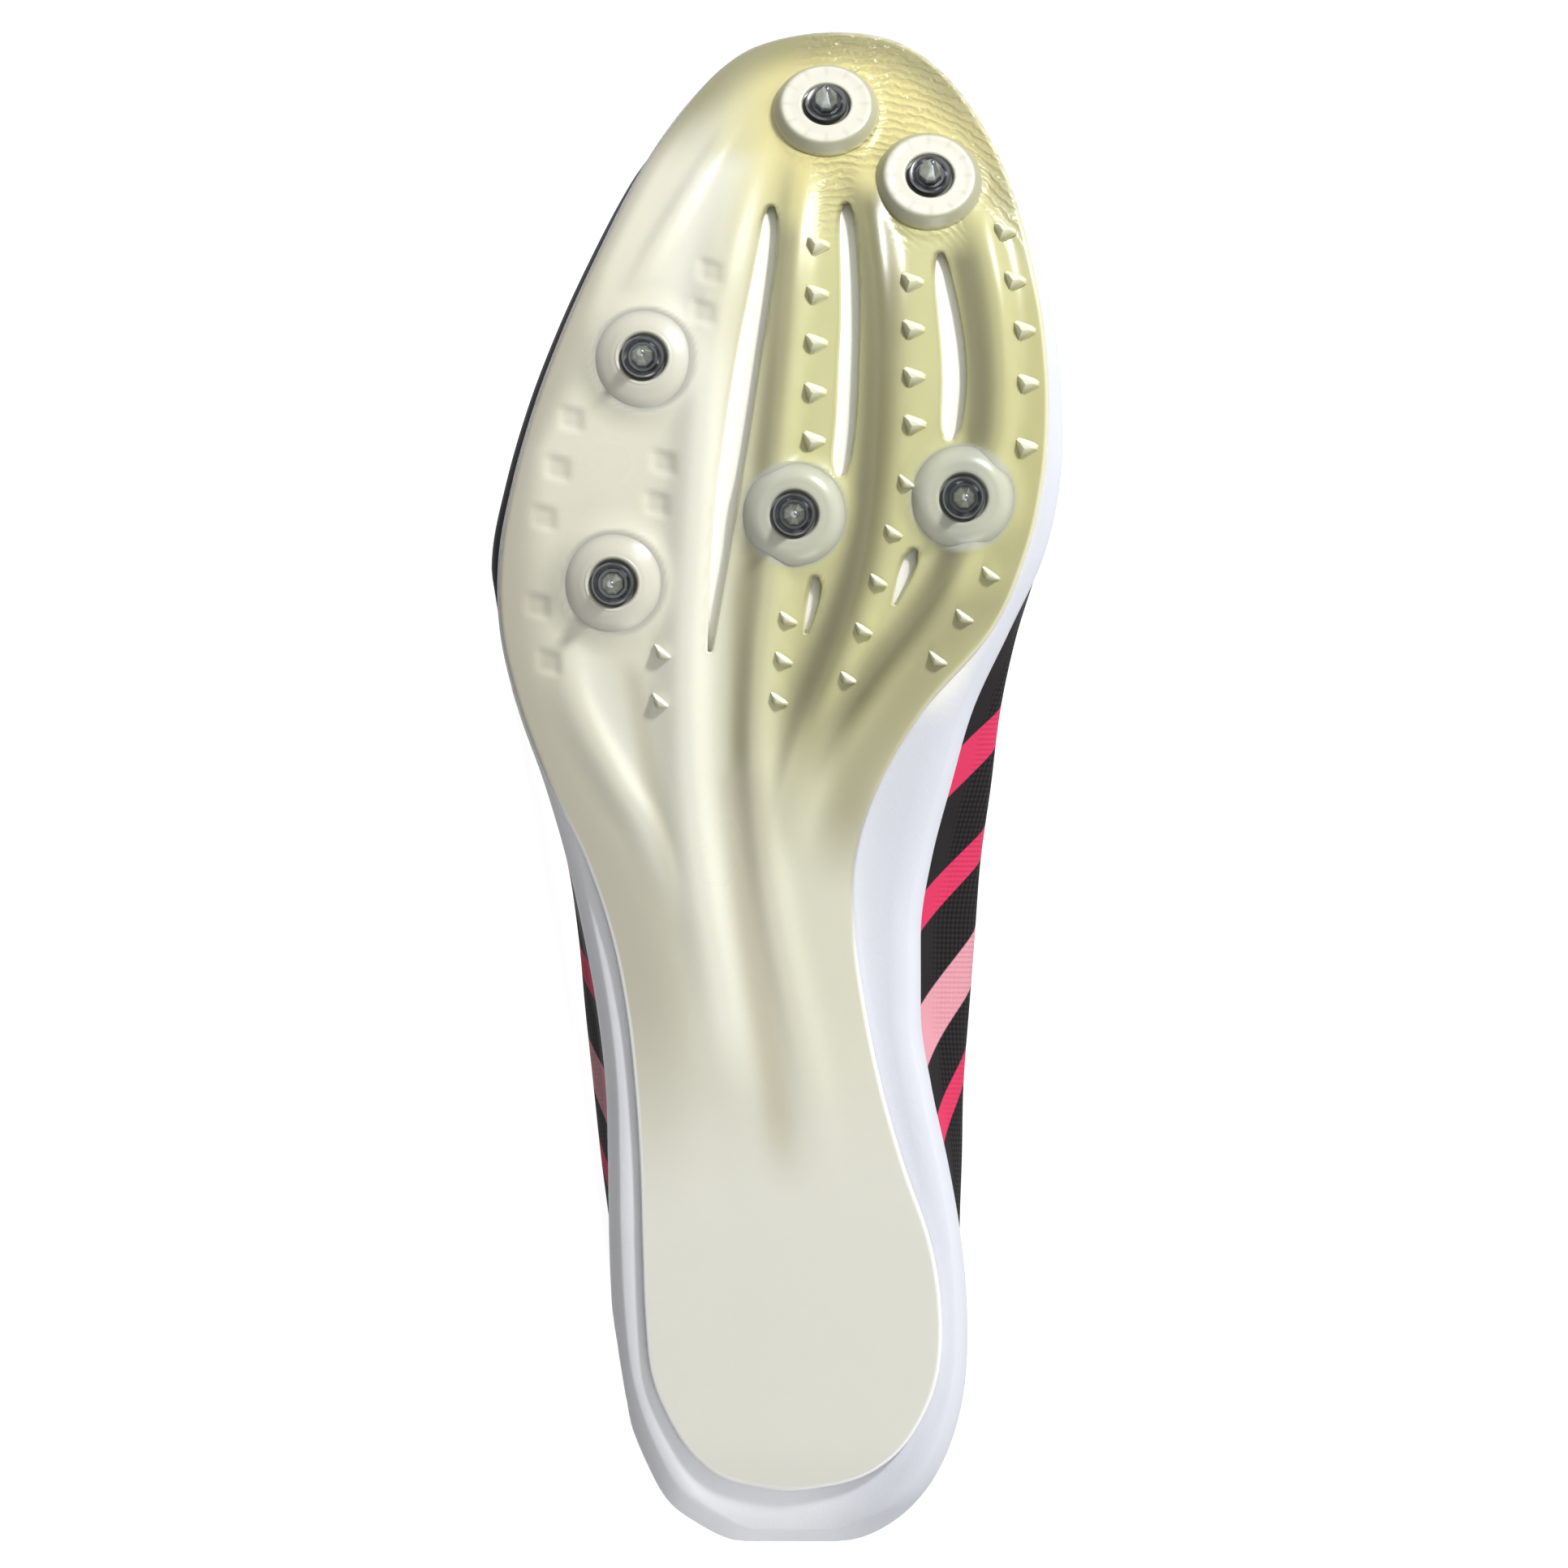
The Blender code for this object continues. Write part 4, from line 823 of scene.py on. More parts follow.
def midsole_foam():
    made, tree, shader = material(
        "midsole_foam", Roughness=0.62, Subsurface_Weight=0.25, Subsurface_Radius=(1.0, 1.0, 1.0),
        Subsurface_Scale=0.002, Sheen_Weight=0.08)
    where = place_of(tree)
    cloud = noise(tree, where, 40.0, 4.0, 0.6)
    shade = ramp(tree, cloud, ((0.25, (0.90, 0.91, 0.96)), (0.75, (0.95, 0.96, 1.0))))
    # Painted shade along the rim's step
    for share, colour in ((read(tree, "crease"), (0.74, 0.75, 0.79)),
                          # Painted shade on the medial side, which faces the key light
                          (times(tree, read(tree, "painted_medial_shade"), 0.75), (0.55, 0.57, 0.63)),
                          # Painted light on the forefoot's underside, seen through the slots, lifting their
                          # shade
                          (read(tree, "below"), (0.97, 0.955, 0.88))):
        shade = mix(tree, share, shade, colour)
    cells = add(tree, "TexVoronoi", {"Vector": where, "Scale": 1300.0}).outputs["Distance"]
    skin = bump(tree, cells, 0.00005, 0.35)
    feed(tree, shader, Base_Color=shade,
         Normal=bump(tree, noise(tree, where, 260.0, 3.0), 0.00012, 0.35, skin))
    return made


def upper_cloth():
    made, tree, shader = material("upper_mesh", Roughness=0.85, Specular_IOR_Level=0.18,
                                  Sheen_Weight=0.03, Sheen_Roughness=0.4)
    run = read(tree, "run", "Vector")
    film = read(tree, "film")
    knit = add(tree, "Mapping", {"Vector": run, "Rotation": (0, 0, 0.78)}).outputs["Vector"]
    weave = weave_of(tree, knit, 4700.0)
    cloud = noise(tree, run, 90.0, 3.0, 0.6)
    black = ramp(tree, weave, ((0.15, (0.006, 0.005, 0.006)), (0.55, (0.014, 0.012, 0.013)),
                               (0.95, (0.026, 0.023, 0.025))))
    smooth_black = mix(tree, cloud, (0.012, 0.010, 0.011), (0.022, 0.019, 0.020))
    shade = mix(tree, film, black, smooth_black)
    for name, colour in (("pink", (0.70, 0.040, 0.120)), ("pale", (0.72, 0.32, 0.375))):
        inside = spread(tree, read(tree, name), 0.0, 1.0, -0.00012, 0.00012)
        worn = mix(tree, times(tree, cloud, 0.35), colour, darker(colour, 0.62))
        shade = mix(tree, inside, shade, worn)
    shade = mix(tree, read(tree, "lining"), shade, (0.035, 0.034, 0.037))
    open_weave = times(tree, weave, calc(tree, "SUBTRACT", 1.0, film))
    normal = bump(tree, open_weave, 0.00022, 0.9)
    feed(tree, shader, Base_Color=shade, Roughness=spread(tree, film, 0.86, 0.50),
         Normal=bump(tree, noise(tree, run, 1400.0, 3.0), 0.00003, 0.6, normal))
    return made


def cloth(name, dark, light, scale, depth=0.00015):
    """A small plain weave in the shoe's coordinates."""
    made, tree, shader = material(name, Roughness=0.88, Sheen_Weight=0.15)
    run = read(tree, "run", "Vector")
    weave = weave_of(tree, run, scale)
    cloud = noise(tree, run, 120.0, 3.0, 0.6)
    normal = bump(tree, weave, depth, 0.9)
    feed(tree, shader,
         Base_Color=mix(tree, times(tree, weave, calc(tree, "ADD", cloud, 0.4)), dark, light),
         Normal=bump(tree, noise(tree, run, 2200.0, 2.0), depth / 4, 0.6, normal))
    return made


def thread(name, colour):
    made, tree, shader = material(name, Base_Color=colour, Roughness=0.7)
    fuzz = noise(tree, place_of(tree), 3000.0, 2.0)
    feed(tree, shader, Base_Color=mix(tree, fuzz, darker(colour, 0.6), colour),
         Normal=bump(tree, fuzz, 0.00004))
    return made


def ring_of(table):
    """A closed plan outline, heel to toe along the medial side and back."""
    at = table.stations(260)
    medial, lateral = (np.stack(outline_point(table, side, at), axis=-1) for side in (MEDIAL, LATERAL))
    return np.concatenate((medial, lateral[::-1]))


def distance_to(ring, x, y):
    """The distance in plan from points to a closed outline, worked out a batch at a time."""
    points = np.stack((x, y), axis=-1).reshape(-1, 1, 2)
    step = np.roll(ring, -1, axis=0) - ring
    length = np.maximum((step ** 2).sum(-1), 1e-18)
    gaps = []
    for batch in np.array_split(points, len(points) // 4000 + 1):
        share = np.clip(((batch - ring) * step).sum(-1) / length, 0, 1)
        gaps.append(np.linalg.norm(batch - ring - share[..., None] * step, axis=-1).min(axis=1))
    return np.concatenate(gaps).reshape(np.shape(x))


def slot_ring(points, widen=0.0):
    """A slot's outline in plan, from its centre line and widths, with round ends."""
    line = through([(at * LENGTH, side * BALL_WIDTH, width) for at, side, width in points], 6)
    ahead = unit(np.gradient(line[:, :2], axis=0))
    across = np.stack((-ahead[:, 1], ahead[:, 0]), axis=-1)
    half = np.maximum(line[:, 2:3], 0.0002) / 2 + widen
    left, right = line[:, :2] + across * half, line[:, :2] - across * half
    ends = []
    turns = np.linspace(0, pi, 9)[1:-1, None]
    for k, sign in ((0, -1), (-1, 1)):
        round_end = np.sin(turns) * ahead[k] + np.cos(turns) * across[k]
        ends.append(line[k, :2] + sign * round_end * half[k])
    return np.concatenate((left, ends[1], right[::-1], ends[0]))


def away_from(line, at, side):
    """How far points lie across a line of stations and sides, positive towards the medial side."""
    lean = np.interp(at, line[:, 0], np.gradient(line[:, 1]) / np.gradient(line[:, 0]))
    squeeze = 1 / np.sqrt(1 + (lean * BALL_WIDTH / LENGTH) ** 2)
    return (side - np.interp(at, line[:, 0], line[:, 1])) * BALL_WIDTH * squeeze


def rib_share(x, y):
    """Height over the plate, and how far a point lies on a rib's lateral flank."""
    at, side = x / LENGTH, y / BALL_WIDTH
    height, flank = np.zeros_like(x), np.zeros_like(x)
    for _, rib_height, lateral_width, medial_width, points in RIBS:
        line = through(points[::-1], 8)
        strength = np.clip(np.interp(at, line[:, 0], line[:, 2], left=0.0, right=0.0), 0, 1)
        away = away_from(line, at, side)
        width = np.where(away < 0, lateral_width, medial_width)
        height = np.hypot(height, rib_height * strength * np.exp(-(np.abs(away) / width) ** CREST_POWER))
        here = np.exp(-((away + 0.75 * lateral_width) / (0.6 * width)) ** 2) * strength
        flank = np.maximum(flank, here)
    return height, flank


def boss_swell(x, y):
    """How the plate rises round its bosses."""
    height = np.zeros_like(x)
    for _, at, side, dome in SPIKES:
        away = np.hypot(x - at * LENGTH, y - side * BALL_WIDTH) - BOSS_RADIUS
        share = np.clip(1 - away / (0.0018 + 0.0030 * dome), 0.0, 1.0)
        height = np.maximum(height, (0.0005 + 0.0006 * dome) * share * share)
    return height


def relief(x, y):
    """All that rises from the plate's ground face, its ribs and the feet of its bosses."""
    return np.hypot(rib_share(x, y)[0], boss_swell(x, y))


def grip_spots(dimples):
    """Form and place in plan of each dimple, or else of each grip tooth."""
    for form, first_at, first_side, last_at, last_side, count in TOOTH_ROWS:
        if (form == "dimple") == dimples:
            for share in np.linspace(0.0, 1.0, count):
                yield (form, (first_at + (last_at - first_at) * share) * LENGTH,
                       (first_side + (last_side - first_side) * share) * BALL_WIDTH)


def dimple_share(x, y):
    """Soft square dimples of the lateral forefoot."""
    deep = np.zeros_like(x)
    for _, middle_x, middle_y in grip_spots(dimples=True):
        dx, dy = x - middle_x, y - middle_y
        along, across = (smooth(0.675 * DIMPLE_SIZE, 0.25 * DIMPLE_SIZE, np.abs(away))
                         for away in (dx + 0.25 * dy, dy))
        deep = np.maximum(deep, along * across)
    return deep


def plate_body():
    """The moulded plate: fine ribs and dimples, a rounded rim and the slots."""
    stations = np.unique(np.concatenate((PLATE.stations(300), np.linspace(0.45, 0.93, 230))))
    edges = np.array((0.0, 0.00022, 0.0005, 0.0009))
    inner = np.linspace(0, 1, 132)
    rows = []
    for at in stations:
        x, lateral = outline_point(PLATE, LATERAL, at)
        _, medial = outline_point(PLATE, MEDIAL, at)
        insets = edges * min(1.0, (medial - lateral) / 0.006)
        start, stop = lateral + insets[-1], medial - insets[-1]
        rows.append(np.concatenate((lateral + insets[:-1], start + (stop - start) * inner,
                                    medial - insets[:-1][::-1])))
    y = np.array(rows)
    x = np.broadcast_to(outline_point(PLATE, MEDIAL, stations)[0][:, None], y.shape)
    ribs = relief(x, y)
    edge = distance_to(ring_of(PLATE), x, y)
    fade = smooth(0.0, 0.004, edge)
    rolled = RIM_ROUND - np.sqrt(np.maximum(RIM_ROUND ** 2 - np.maximum(RIM_ROUND - edge, 0) ** 2, 0))
    low = ground(x, y) - ribs * fade + rolled + DIMPLE_DEPTH * dimple_share(x, y)
    under = spots(x, y, low)
    top = y[:, [0, 34, 68, 102, -1]]
    over = spots(x[:, :5], top, ground(x[:, :5], top) + PLATE_THICKNESS)
    plate = loft("spike_plate", np.concatenate((under, over[:, ::-1]), axis=1))
    slots = []
    for _, points in SLOTS:
        rings = []
        for widen, depth in ((SLOT_CHAMFER + 0.003, -0.003), (0.0, SLOT_CHAMFER), (-0.0001, 0.006)):
            u, v = slot_ring(points, widen).T
            rings.append(spots(u, v, ground(u, v) - relief(u, v) + depth))
        slots.append(loft("slot", np.array(rings)))
    return cut(plate, join(*slots))


def turned(name, profile, steps, place, facets=None):
    """A closed turned solid; facets gives how octagonal each profile point is."""
    angles = np.arange(steps) * 2 * pi / steps
    octagon = cos(pi / 8) / np.cos((angles + pi / 8) % (pi / 4) - pi / 8)
    rings = []
    for k, (radius, height) in enumerate(profile):
        flat = facets[k] if facets else 0.0
        around = radius * (1 - flat + flat * octagon)
        rings.append(spots(around * np.cos(angles), around * np.sin(angles), height))
    return loft(name, placed(np.array(rings), place))


def boss_profile(dome):
    """Radius and height over the plate, from under its skirt to the floor of the pin's well."""
    foot, top, well, crown = BOSS_RADIUS, BOSS_TOP_RADIUS, WELL_RADIUS, BOSS_HEIGHT - 0.0001
    floor = ((well, BOSS_HEIGHT - 0.0005), (well - 0.0002, BOSS_HEIGHT - WELL_DEPTH), (0.0004, 0.0019))
    flat = np.array((
        (foot + 0.0002, -0.0012), (foot + 0.0001, 0.0002), (foot - 0.0001, 0.0010), (top + 0.0007, 0.0023),
        (top + 0.0003, 0.0028), (top - 0.0004, BOSS_HEIGHT), (top - 0.0014, crown), (0.0055, crown),
        (well + 0.0004, crown), *floor))
    domed = np.array((
        (foot + 0.0007, -0.0009), (foot - 0.0001, 0.0003), (foot - 0.0010, 0.0011), (top - 0.0004, 0.0018),
        (top - 0.0014, 0.0023), (top - 0.0023, 0.0027), (top - 0.0030, crown), (0.0051, BOSS_HEIGHT),
        (well + 0.0003, crown), *floor))
    return through(flat + (domed - flat) * dome, 3)


def tooth(form, place):
    """A grip tooth: a short crest near its toe side and a steep face behind it."""
    length, width, height, _ = TOOTH_FORMS[form]
    root = np.array([(u * length, v * width, -0.0006) for u, v in TOOTH_OUTLINE])
    foot = root * (1.0, 1.0, 0.0)
    waist = foot * 0.82 + (0.02 * length, 0, 0.22 * height)
    crest = root * (0.20, 0.45, 0.0) + (0.10 * length, 0.0, height)
    crest[:4, 2] += 0.0001
    return loft("tooth", placed(np.array((root, foot, waist, crest)), place), sharp=pi / 7)


def tooth_places():
    """Form and place of each grip tooth."""
    for form, x, y in grip_spots(dimples=False):
        rise = float(relief(np.array([x]), np.array([y]))[0])
        turn = TOOTH_FORMS[form][3]
        yield form, plate_frame(x, y, -rise) @ Matrix.Rotation(turn, 4, "Z")


def plate_colours(plate, teeth):
    """Colour with painted light and shade, brushed toe and white discs of the plate, from places on the
    shoe.
    """
    points = locations(plate.data)
    x, y, z = points.T
    at, side = x / LENGTH, y / BALL_WIDTH
    ribs, lateral_flank = rib_share(x, y)
    edge = distance_to(ring_of(PLATE), x, y)
    rim = smooth(0.0009, 0.0003, edge)
    tint_and_painted_light = np.tile((0.70, 0.69, 0.55), (len(x), 1))

    def coat(colour, share):
        tint_and_painted_light[:] += (np.array(colour) - tint_and_painted_light) * np.clip(share, 0, 1)[:, None]

    # Large areas
    fore = smooth(0.42, 0.60, at)
    medial = smooth(-0.16, 0.04, side) * fore
    heel = smooth(0.38, 0.20, at)
    coat((0.75, 0.75, 0.67), heel)
    coat((0.78, 0.76, 0.62), smooth(-0.10, -0.26, side) * fore)
    coat((0.60, 0.59, 0.30), medial)
    coat((0.76, 0.69, 0.31), medial * smooth(0.84, 0.93, at))
    coat((0.46, 0.44, 0.20), 0.70 * smooth(0.30, 0.44, side) * fore * smooth(0.95, 0.85, at))
    # Painted shade along the lateral edge, which curves away from the light
    from_edge = y - PLATE("lateral", np.clip(at, PLATE.first, PLATE.last)) * BALL_WIDTH
    reach = np.interp(at, *np.array(EDGE_SHADE).T)
    coat((0.42, 0.39, 0.31), 0.80 * smooth(reach * 1.3, reach * 0.2, from_edge) * (1 - heel))
    # Painted highlights along the crests, painted shade in the valleys and on the rib flanks
    for _, colour, strength, half, crest in PAINTED_SHADING:
        line = through(crest[::-1], 6)
        ends = smooth(line[0, 0], line[0, 0] + 0.07, at) * smooth(line[-1, 0], line[-1, 0] - 0.025, at)
        away = np.abs(away_from(line, at, side))
        coat(colour, strength * np.exp(-(away / half) ** CREST_POWER) * ends)

    # Rims, flanks, dimples and slots
    # Painted shade on the heel rim's medial side and a painted highlight on its lateral side
    heel_rim = rim * smooth(0.52, 0.46, at)
    coat((0.36, 0.37, 0.36), 0.75 * heel_rim * smooth(0.0, 0.12, side))
    coat((0.95, 0.96, 0.96), heel_rim * smooth(0.0, -0.12, side))
    # Painted shade along the rim at the toe and the medial forefoot
    toe = np.maximum(smooth(0.90, 0.96, at), 0.7 * smooth(0.82, 0.90, at) * medial)
    coat((0.27, 0.26, 0.14), 0.85 * smooth(0.0085, 0.0015, edge) * toe)
    # Painted shade on the ribs' lateral flanks, partly the deeper olive of the thicker plastic
    coat((0.22, 0.20, 0.09), 0.35 * lateral_flank * medial)
    coat((0.50, 0.46, 0.38), 0.16 * dimple_share(x, y))
    # Painted shade round the slots' edges, most at their heads, and painted light on their walls
    deep = smooth(0.0002, 0.0008, z - (ground(x, y) - relief(x, y)))
    for _, slot in SLOTS:
        near = distance_to(slot_ring(slot), x, y)
        from_head = np.hypot(x - slot[0][0] * LENGTH, y - slot[0][1] * BALL_WIDTH)
        head = np.exp(-(from_head / 0.0035) ** 2)
        coat((0.24, 0.22, 0.10), smooth(0.0010, 0.0003, near) * (0.15 + 0.75 * head))
        coat((0.90, 0.89, 0.78), smooth(0.0006, 0.0003, near) * deep * (1 - head))

    # Bosses
    disc = np.zeros_like(x)
    for _, spike_at, spike_side, dome in SPIKES:
        frame_here = plate_frame(spike_at * LENGTH, spike_side * BALL_WIDTH)
        u, v, height = placed(points, frame_here.inverted()).T
        radius = np.hypot(u, v)
        inside = radius < BOSS_RADIUS + 0.003
        wall = (smooth(BOSS_RADIUS + 0.0004, BOSS_RADIUS - 0.0004, radius)
                * smooth(-0.0004, 0.0004, height))
        if dome:
            coat((0.52, 0.54, 0.47) if dome < 1 else (0.66, 0.64, 0.55), 0.80 * wall)
            coat((0.34, 0.34, 0.27), 0.5 * wall * smooth(0.0022, 0.0004, height))
        else:
            coat((0.40, 0.40, 0.30), 0.9 * wall)
            white = inside * smooth(0.0027, 0.0029, height) * smooth(0.0085, 0.0079, radius)
            ticks = smooth(0.9, 1.0, np.cos(12 * np.arctan2(v, u))) * smooth(0.0055, 0.0072, radius)
            coat((0.83, 0.81, 0.71), white * (1 - 0.25 * ticks))
            disc = np.maximum(disc, white)
        # Painted shade in the pin's well, round its collar
        coat((0.20, 0.20, 0.18),
             inside * smooth(0.0050, 0.0042, radius) * smooth(0.0028, 0.0022, height))

    # Grip teeth, whose points come last
    in_tooth = np.arange(len(x)) >= len(x) - TOOTH_RINGS * len(TOOTH_OUTLINE) * len(teeth)
    for form, place in teeth:
        length, width, tall, _ = TOOTH_FORMS[form]
        ahead, across, up = placed(points, place.inverted()).T
        here = in_tooth & (np.abs(ahead) < 0.7 * length) & (np.abs(across) < 0.7 * width) & (up > 0.0003)
        crest = here * smooth(0.35 * tall, 0.9 * tall, up)
        behind = smooth(0.1 * length, -0.3 * length, ahead)
        # Painted shade on the faces behind the crest
        coat((0.34, 0.32, 0.15), 0.85 * here * (1 - crest) * behind)
        # Painted highlight on the crest and the toe side
        coat((0.96, 0.95, 0.78), 0.85 * np.maximum(crest, here * smooth(0.1, 0.4, ahead / length)))
    # Painted highlights along the rim: yellow on the medial forefoot, white round the heel
    coat((0.86, 0.85, 0.66), 0.6 * rim * smooth(0.5, 0.6, at) * smooth(0.0, 0.2, side))
    coat((0.97, 0.97, 0.95), 0.9 * rim * smooth(0.45, 0.35, at))

    brushed = smooth(0.845, 0.90, at) * smooth(0.0, 0.06, side) * smooth(0.0010, 0.0002, ribs)
    paint(plate, "tint_and_painted_light", tint_and_painted_light, "FLOAT_COLOR")
    paint(plate, "brushed", brushed * smooth(0.0016, 0.0008, ground(x, y) - z))
    paint(plate, "disc", disc)


def make_plate():
    plate = plate_body()
    bosses = [turned("boss", boss_profile(dome), BOSS_STEPS, plate_frame(at * LENGTH, side * BALL_WIDTH))
              for _, at, side, dome in SPIKES]
    teeth = list(tooth_places())
    join(plate, *bosses, *(tooth(form, place) for form, place in teeth))
    plate.data.shade_smooth()
    plate.data.set_sharp_from_angle(angle=pi / 6)
    plate_colours(plate, teeth)
    plate.data.materials.append(plate_plastic())
    return lay(plate, "plate_plastic", "outsole_plate")


def make_pins():
    """Steel pins: a dark dished collar and a faceted cone."""
    rim, base, tip, top = PIN_COLLAR_RADIUS, PIN_BASE_RADIUS, PIN_TIP_RADIUS, PIN_COLLAR_HEIGHT
    profile = ((0.0003, 0.0), (rim - 0.0003, 0.0), (rim, 0.0002), (rim, top - 0.0003), (rim - 0.0003, top),
               (rim - 0.0007, top - 0.0001), (rim - 0.0012, top - 0.0005), (base + 0.0001, top - 0.0005),
               (base, top - 0.0002), (base - 0.0001, 0.0030), (base - 0.0006, 0.0037),
               (tip + 0.0004, 0.0054), (tip + 0.0001, PIN_LENGTH - 0.0002), (tip - 0.0002, PIN_LENGTH))
    facets = (0, 0, 0, 0, 0, 0, 0, 1, 1, 1, 1, 0.4, 0, 0)
    cone_rings = range(8, 13)
    metals = (steel("collar_steel", (0.12, 0.125, 0.13), 0.30),
              steel("spike_steel", (0.28, 0.30, 0.295), 0.30))
    for name, at, side, _ in SPIKES:
        place = plate_frame(at * LENGTH, side * BALL_WIDTH, -PIN_SEAT)
        pin = turned("steel_pin_" + name, profile, PIN_STEPS, place, facets)
        for metal in metals:
            pin.data.materials.append(metal)
        for k, face in enumerate(pin.data.polygons):
            point = len(face.vertices) > 4 and face.center.z < 0
            face.material_index = int(k // PIN_STEPS in cone_rings or point)
        lay(pin, "spike_steel", "spike_pin_" + name)


def make_midsole():
    """Moulded foam: a tucked foot, a full side and a stepped rim."""
    at = FOAM.stations(230)
    knots = np.array(((0.0, FOAM_TUCK), (0.08, FOAM_TUCK * 0.62), (0.16, FOAM_TUCK * 0.35),
                      (0.30, FOAM_TUCK * 0.08), (0.42, 0.0), (0.55, FOAM_STEP * 0.08),
                      (0.655, FOAM_STEP * 0.28), (0.665, FOAM_STEP * 0.5), (0.70, FOAM_STEP * 1.25),
                      (0.735, FOAM_STEP * 1.1), (0.80, FOAM_STEP), (0.96, FOAM_TOP_INSET * 0.9),
                      (1.0, FOAM_TOP_INSET * 1.1)))
    side_profile = through(knots, 2)
    columns = {}
    for side in (LATERAL, MEDIAL):
        column = []
        for share, inset in side_profile:
            x, y = outline_point(FOAM, side, at, inset)
            low = ground(x, y) + PLATE_THICKNESS + GAP
            column.append(spots(x, y, low + (footbed(x) - low) * share))
        columns[side] = np.array(column)
    lateral, medial = columns[LATERAL], columns[MEDIAL]
    top = between(lateral[-1], medial[-1], 6)
    under = between(medial[0], lateral[0], 16)
    for spot in under:
        spot[:, 2] = ground(spot[:, 0], spot[:, 1]) + PLATE_THICKNESS + GAP
    rings = np.array([*lateral, *top, *medial[::-1], *under]).transpose(1, 0, 2)
    foam = settle(loft("foam_midsole", rings, pi / 3, len(side_profile), len(top)))
    step = (side_profile[:, 0] > 0.66) & (side_profile[:, 0] < 0.72)
    in_step = np.concatenate((step, np.zeros(len(top)), step[::-1], np.zeros(len(under))))
    # Painted light on the forefoot's underside, seen through the plate's slots
    below = np.zeros(rings.shape[:2])
    below[:, -len(under):] = smooth(0.535, 0.575, at)[:, None]
    # Painted shade along the rim's step
    paint(foam, "crease", np.tile(0.3 * in_step, len(at)))
    paint(foam, "below", below.ravel())
    # Painted shade on the medial side, which faces the key light
    paint(foam, "painted_medial_shade", smooth(0.0, 0.02, locations(foam.data)[:, 1]))
    foam.data.materials.append(midsole_foam())
    return lay(foam, "midsole_foam", "midsole")


def crease(side, at, share):
    """Dents of the vamp behind the toes, so narrow that they move only a few points."""
    deep = np.zeros(np.broadcast(at, share).shape)
    for centre, lean, width, depth in ((0.735, 0.030, 0.0085, 0.00075), (0.700, -0.012, 0.0075, 0.00055),
                                       (0.668, 0.018, 0.0070, 0.00040)):
        line = centre + lean * (share - 0.5) * side + 0.006 * np.sin(7 * share + 2 * side)
        away = (at - line) * 0.28 / width
        fold = -np.exp(-(away / 0.0032) ** 2) + 0.55 * np.exp(-((away - 0.006) / 0.0035) ** 2)
        deep = deep + depth * fold * smooth(0.12, 0.45, share) * smooth(1.0, 0.86, share)
    return deep


def chevron_distance(kind, side, at, up):
    """Signed distance in metres into the chevrons of one colour, from station and height share."""
    found = np.full(np.shape(at), -1.0)
    for colour, where, tip, width, lean, top in CHEVRONS:
        if colour != kind or where != side:
            continue
        line = tip - lean * np.abs(up - CHEVRON_FOLD) / CHEVRON_FOLD
        slope = np.hypot(1.0, lean / CHEVRON_FOLD * LENGTH / SIDE_HEIGHT)
        half = width / 2 * (1.15 - 0.75 * np.clip(np.abs(up - 0.08) / top, 0, 1))
        inside = (half - np.abs(at - line)) * LENGTH / slope
        found = np.maximum(found, np.minimum(inside, (top - up) * SIDE_HEIGHT))
    return found


def run_of(points):
    """How far along its row each point lies."""
    steps = np.linalg.norm(np.diff(points, axis=-2), axis=-1)
    return np.concatenate((np.zeros_like(steps[..., :1]), np.cumsum(steps, axis=-1)), axis=-1)


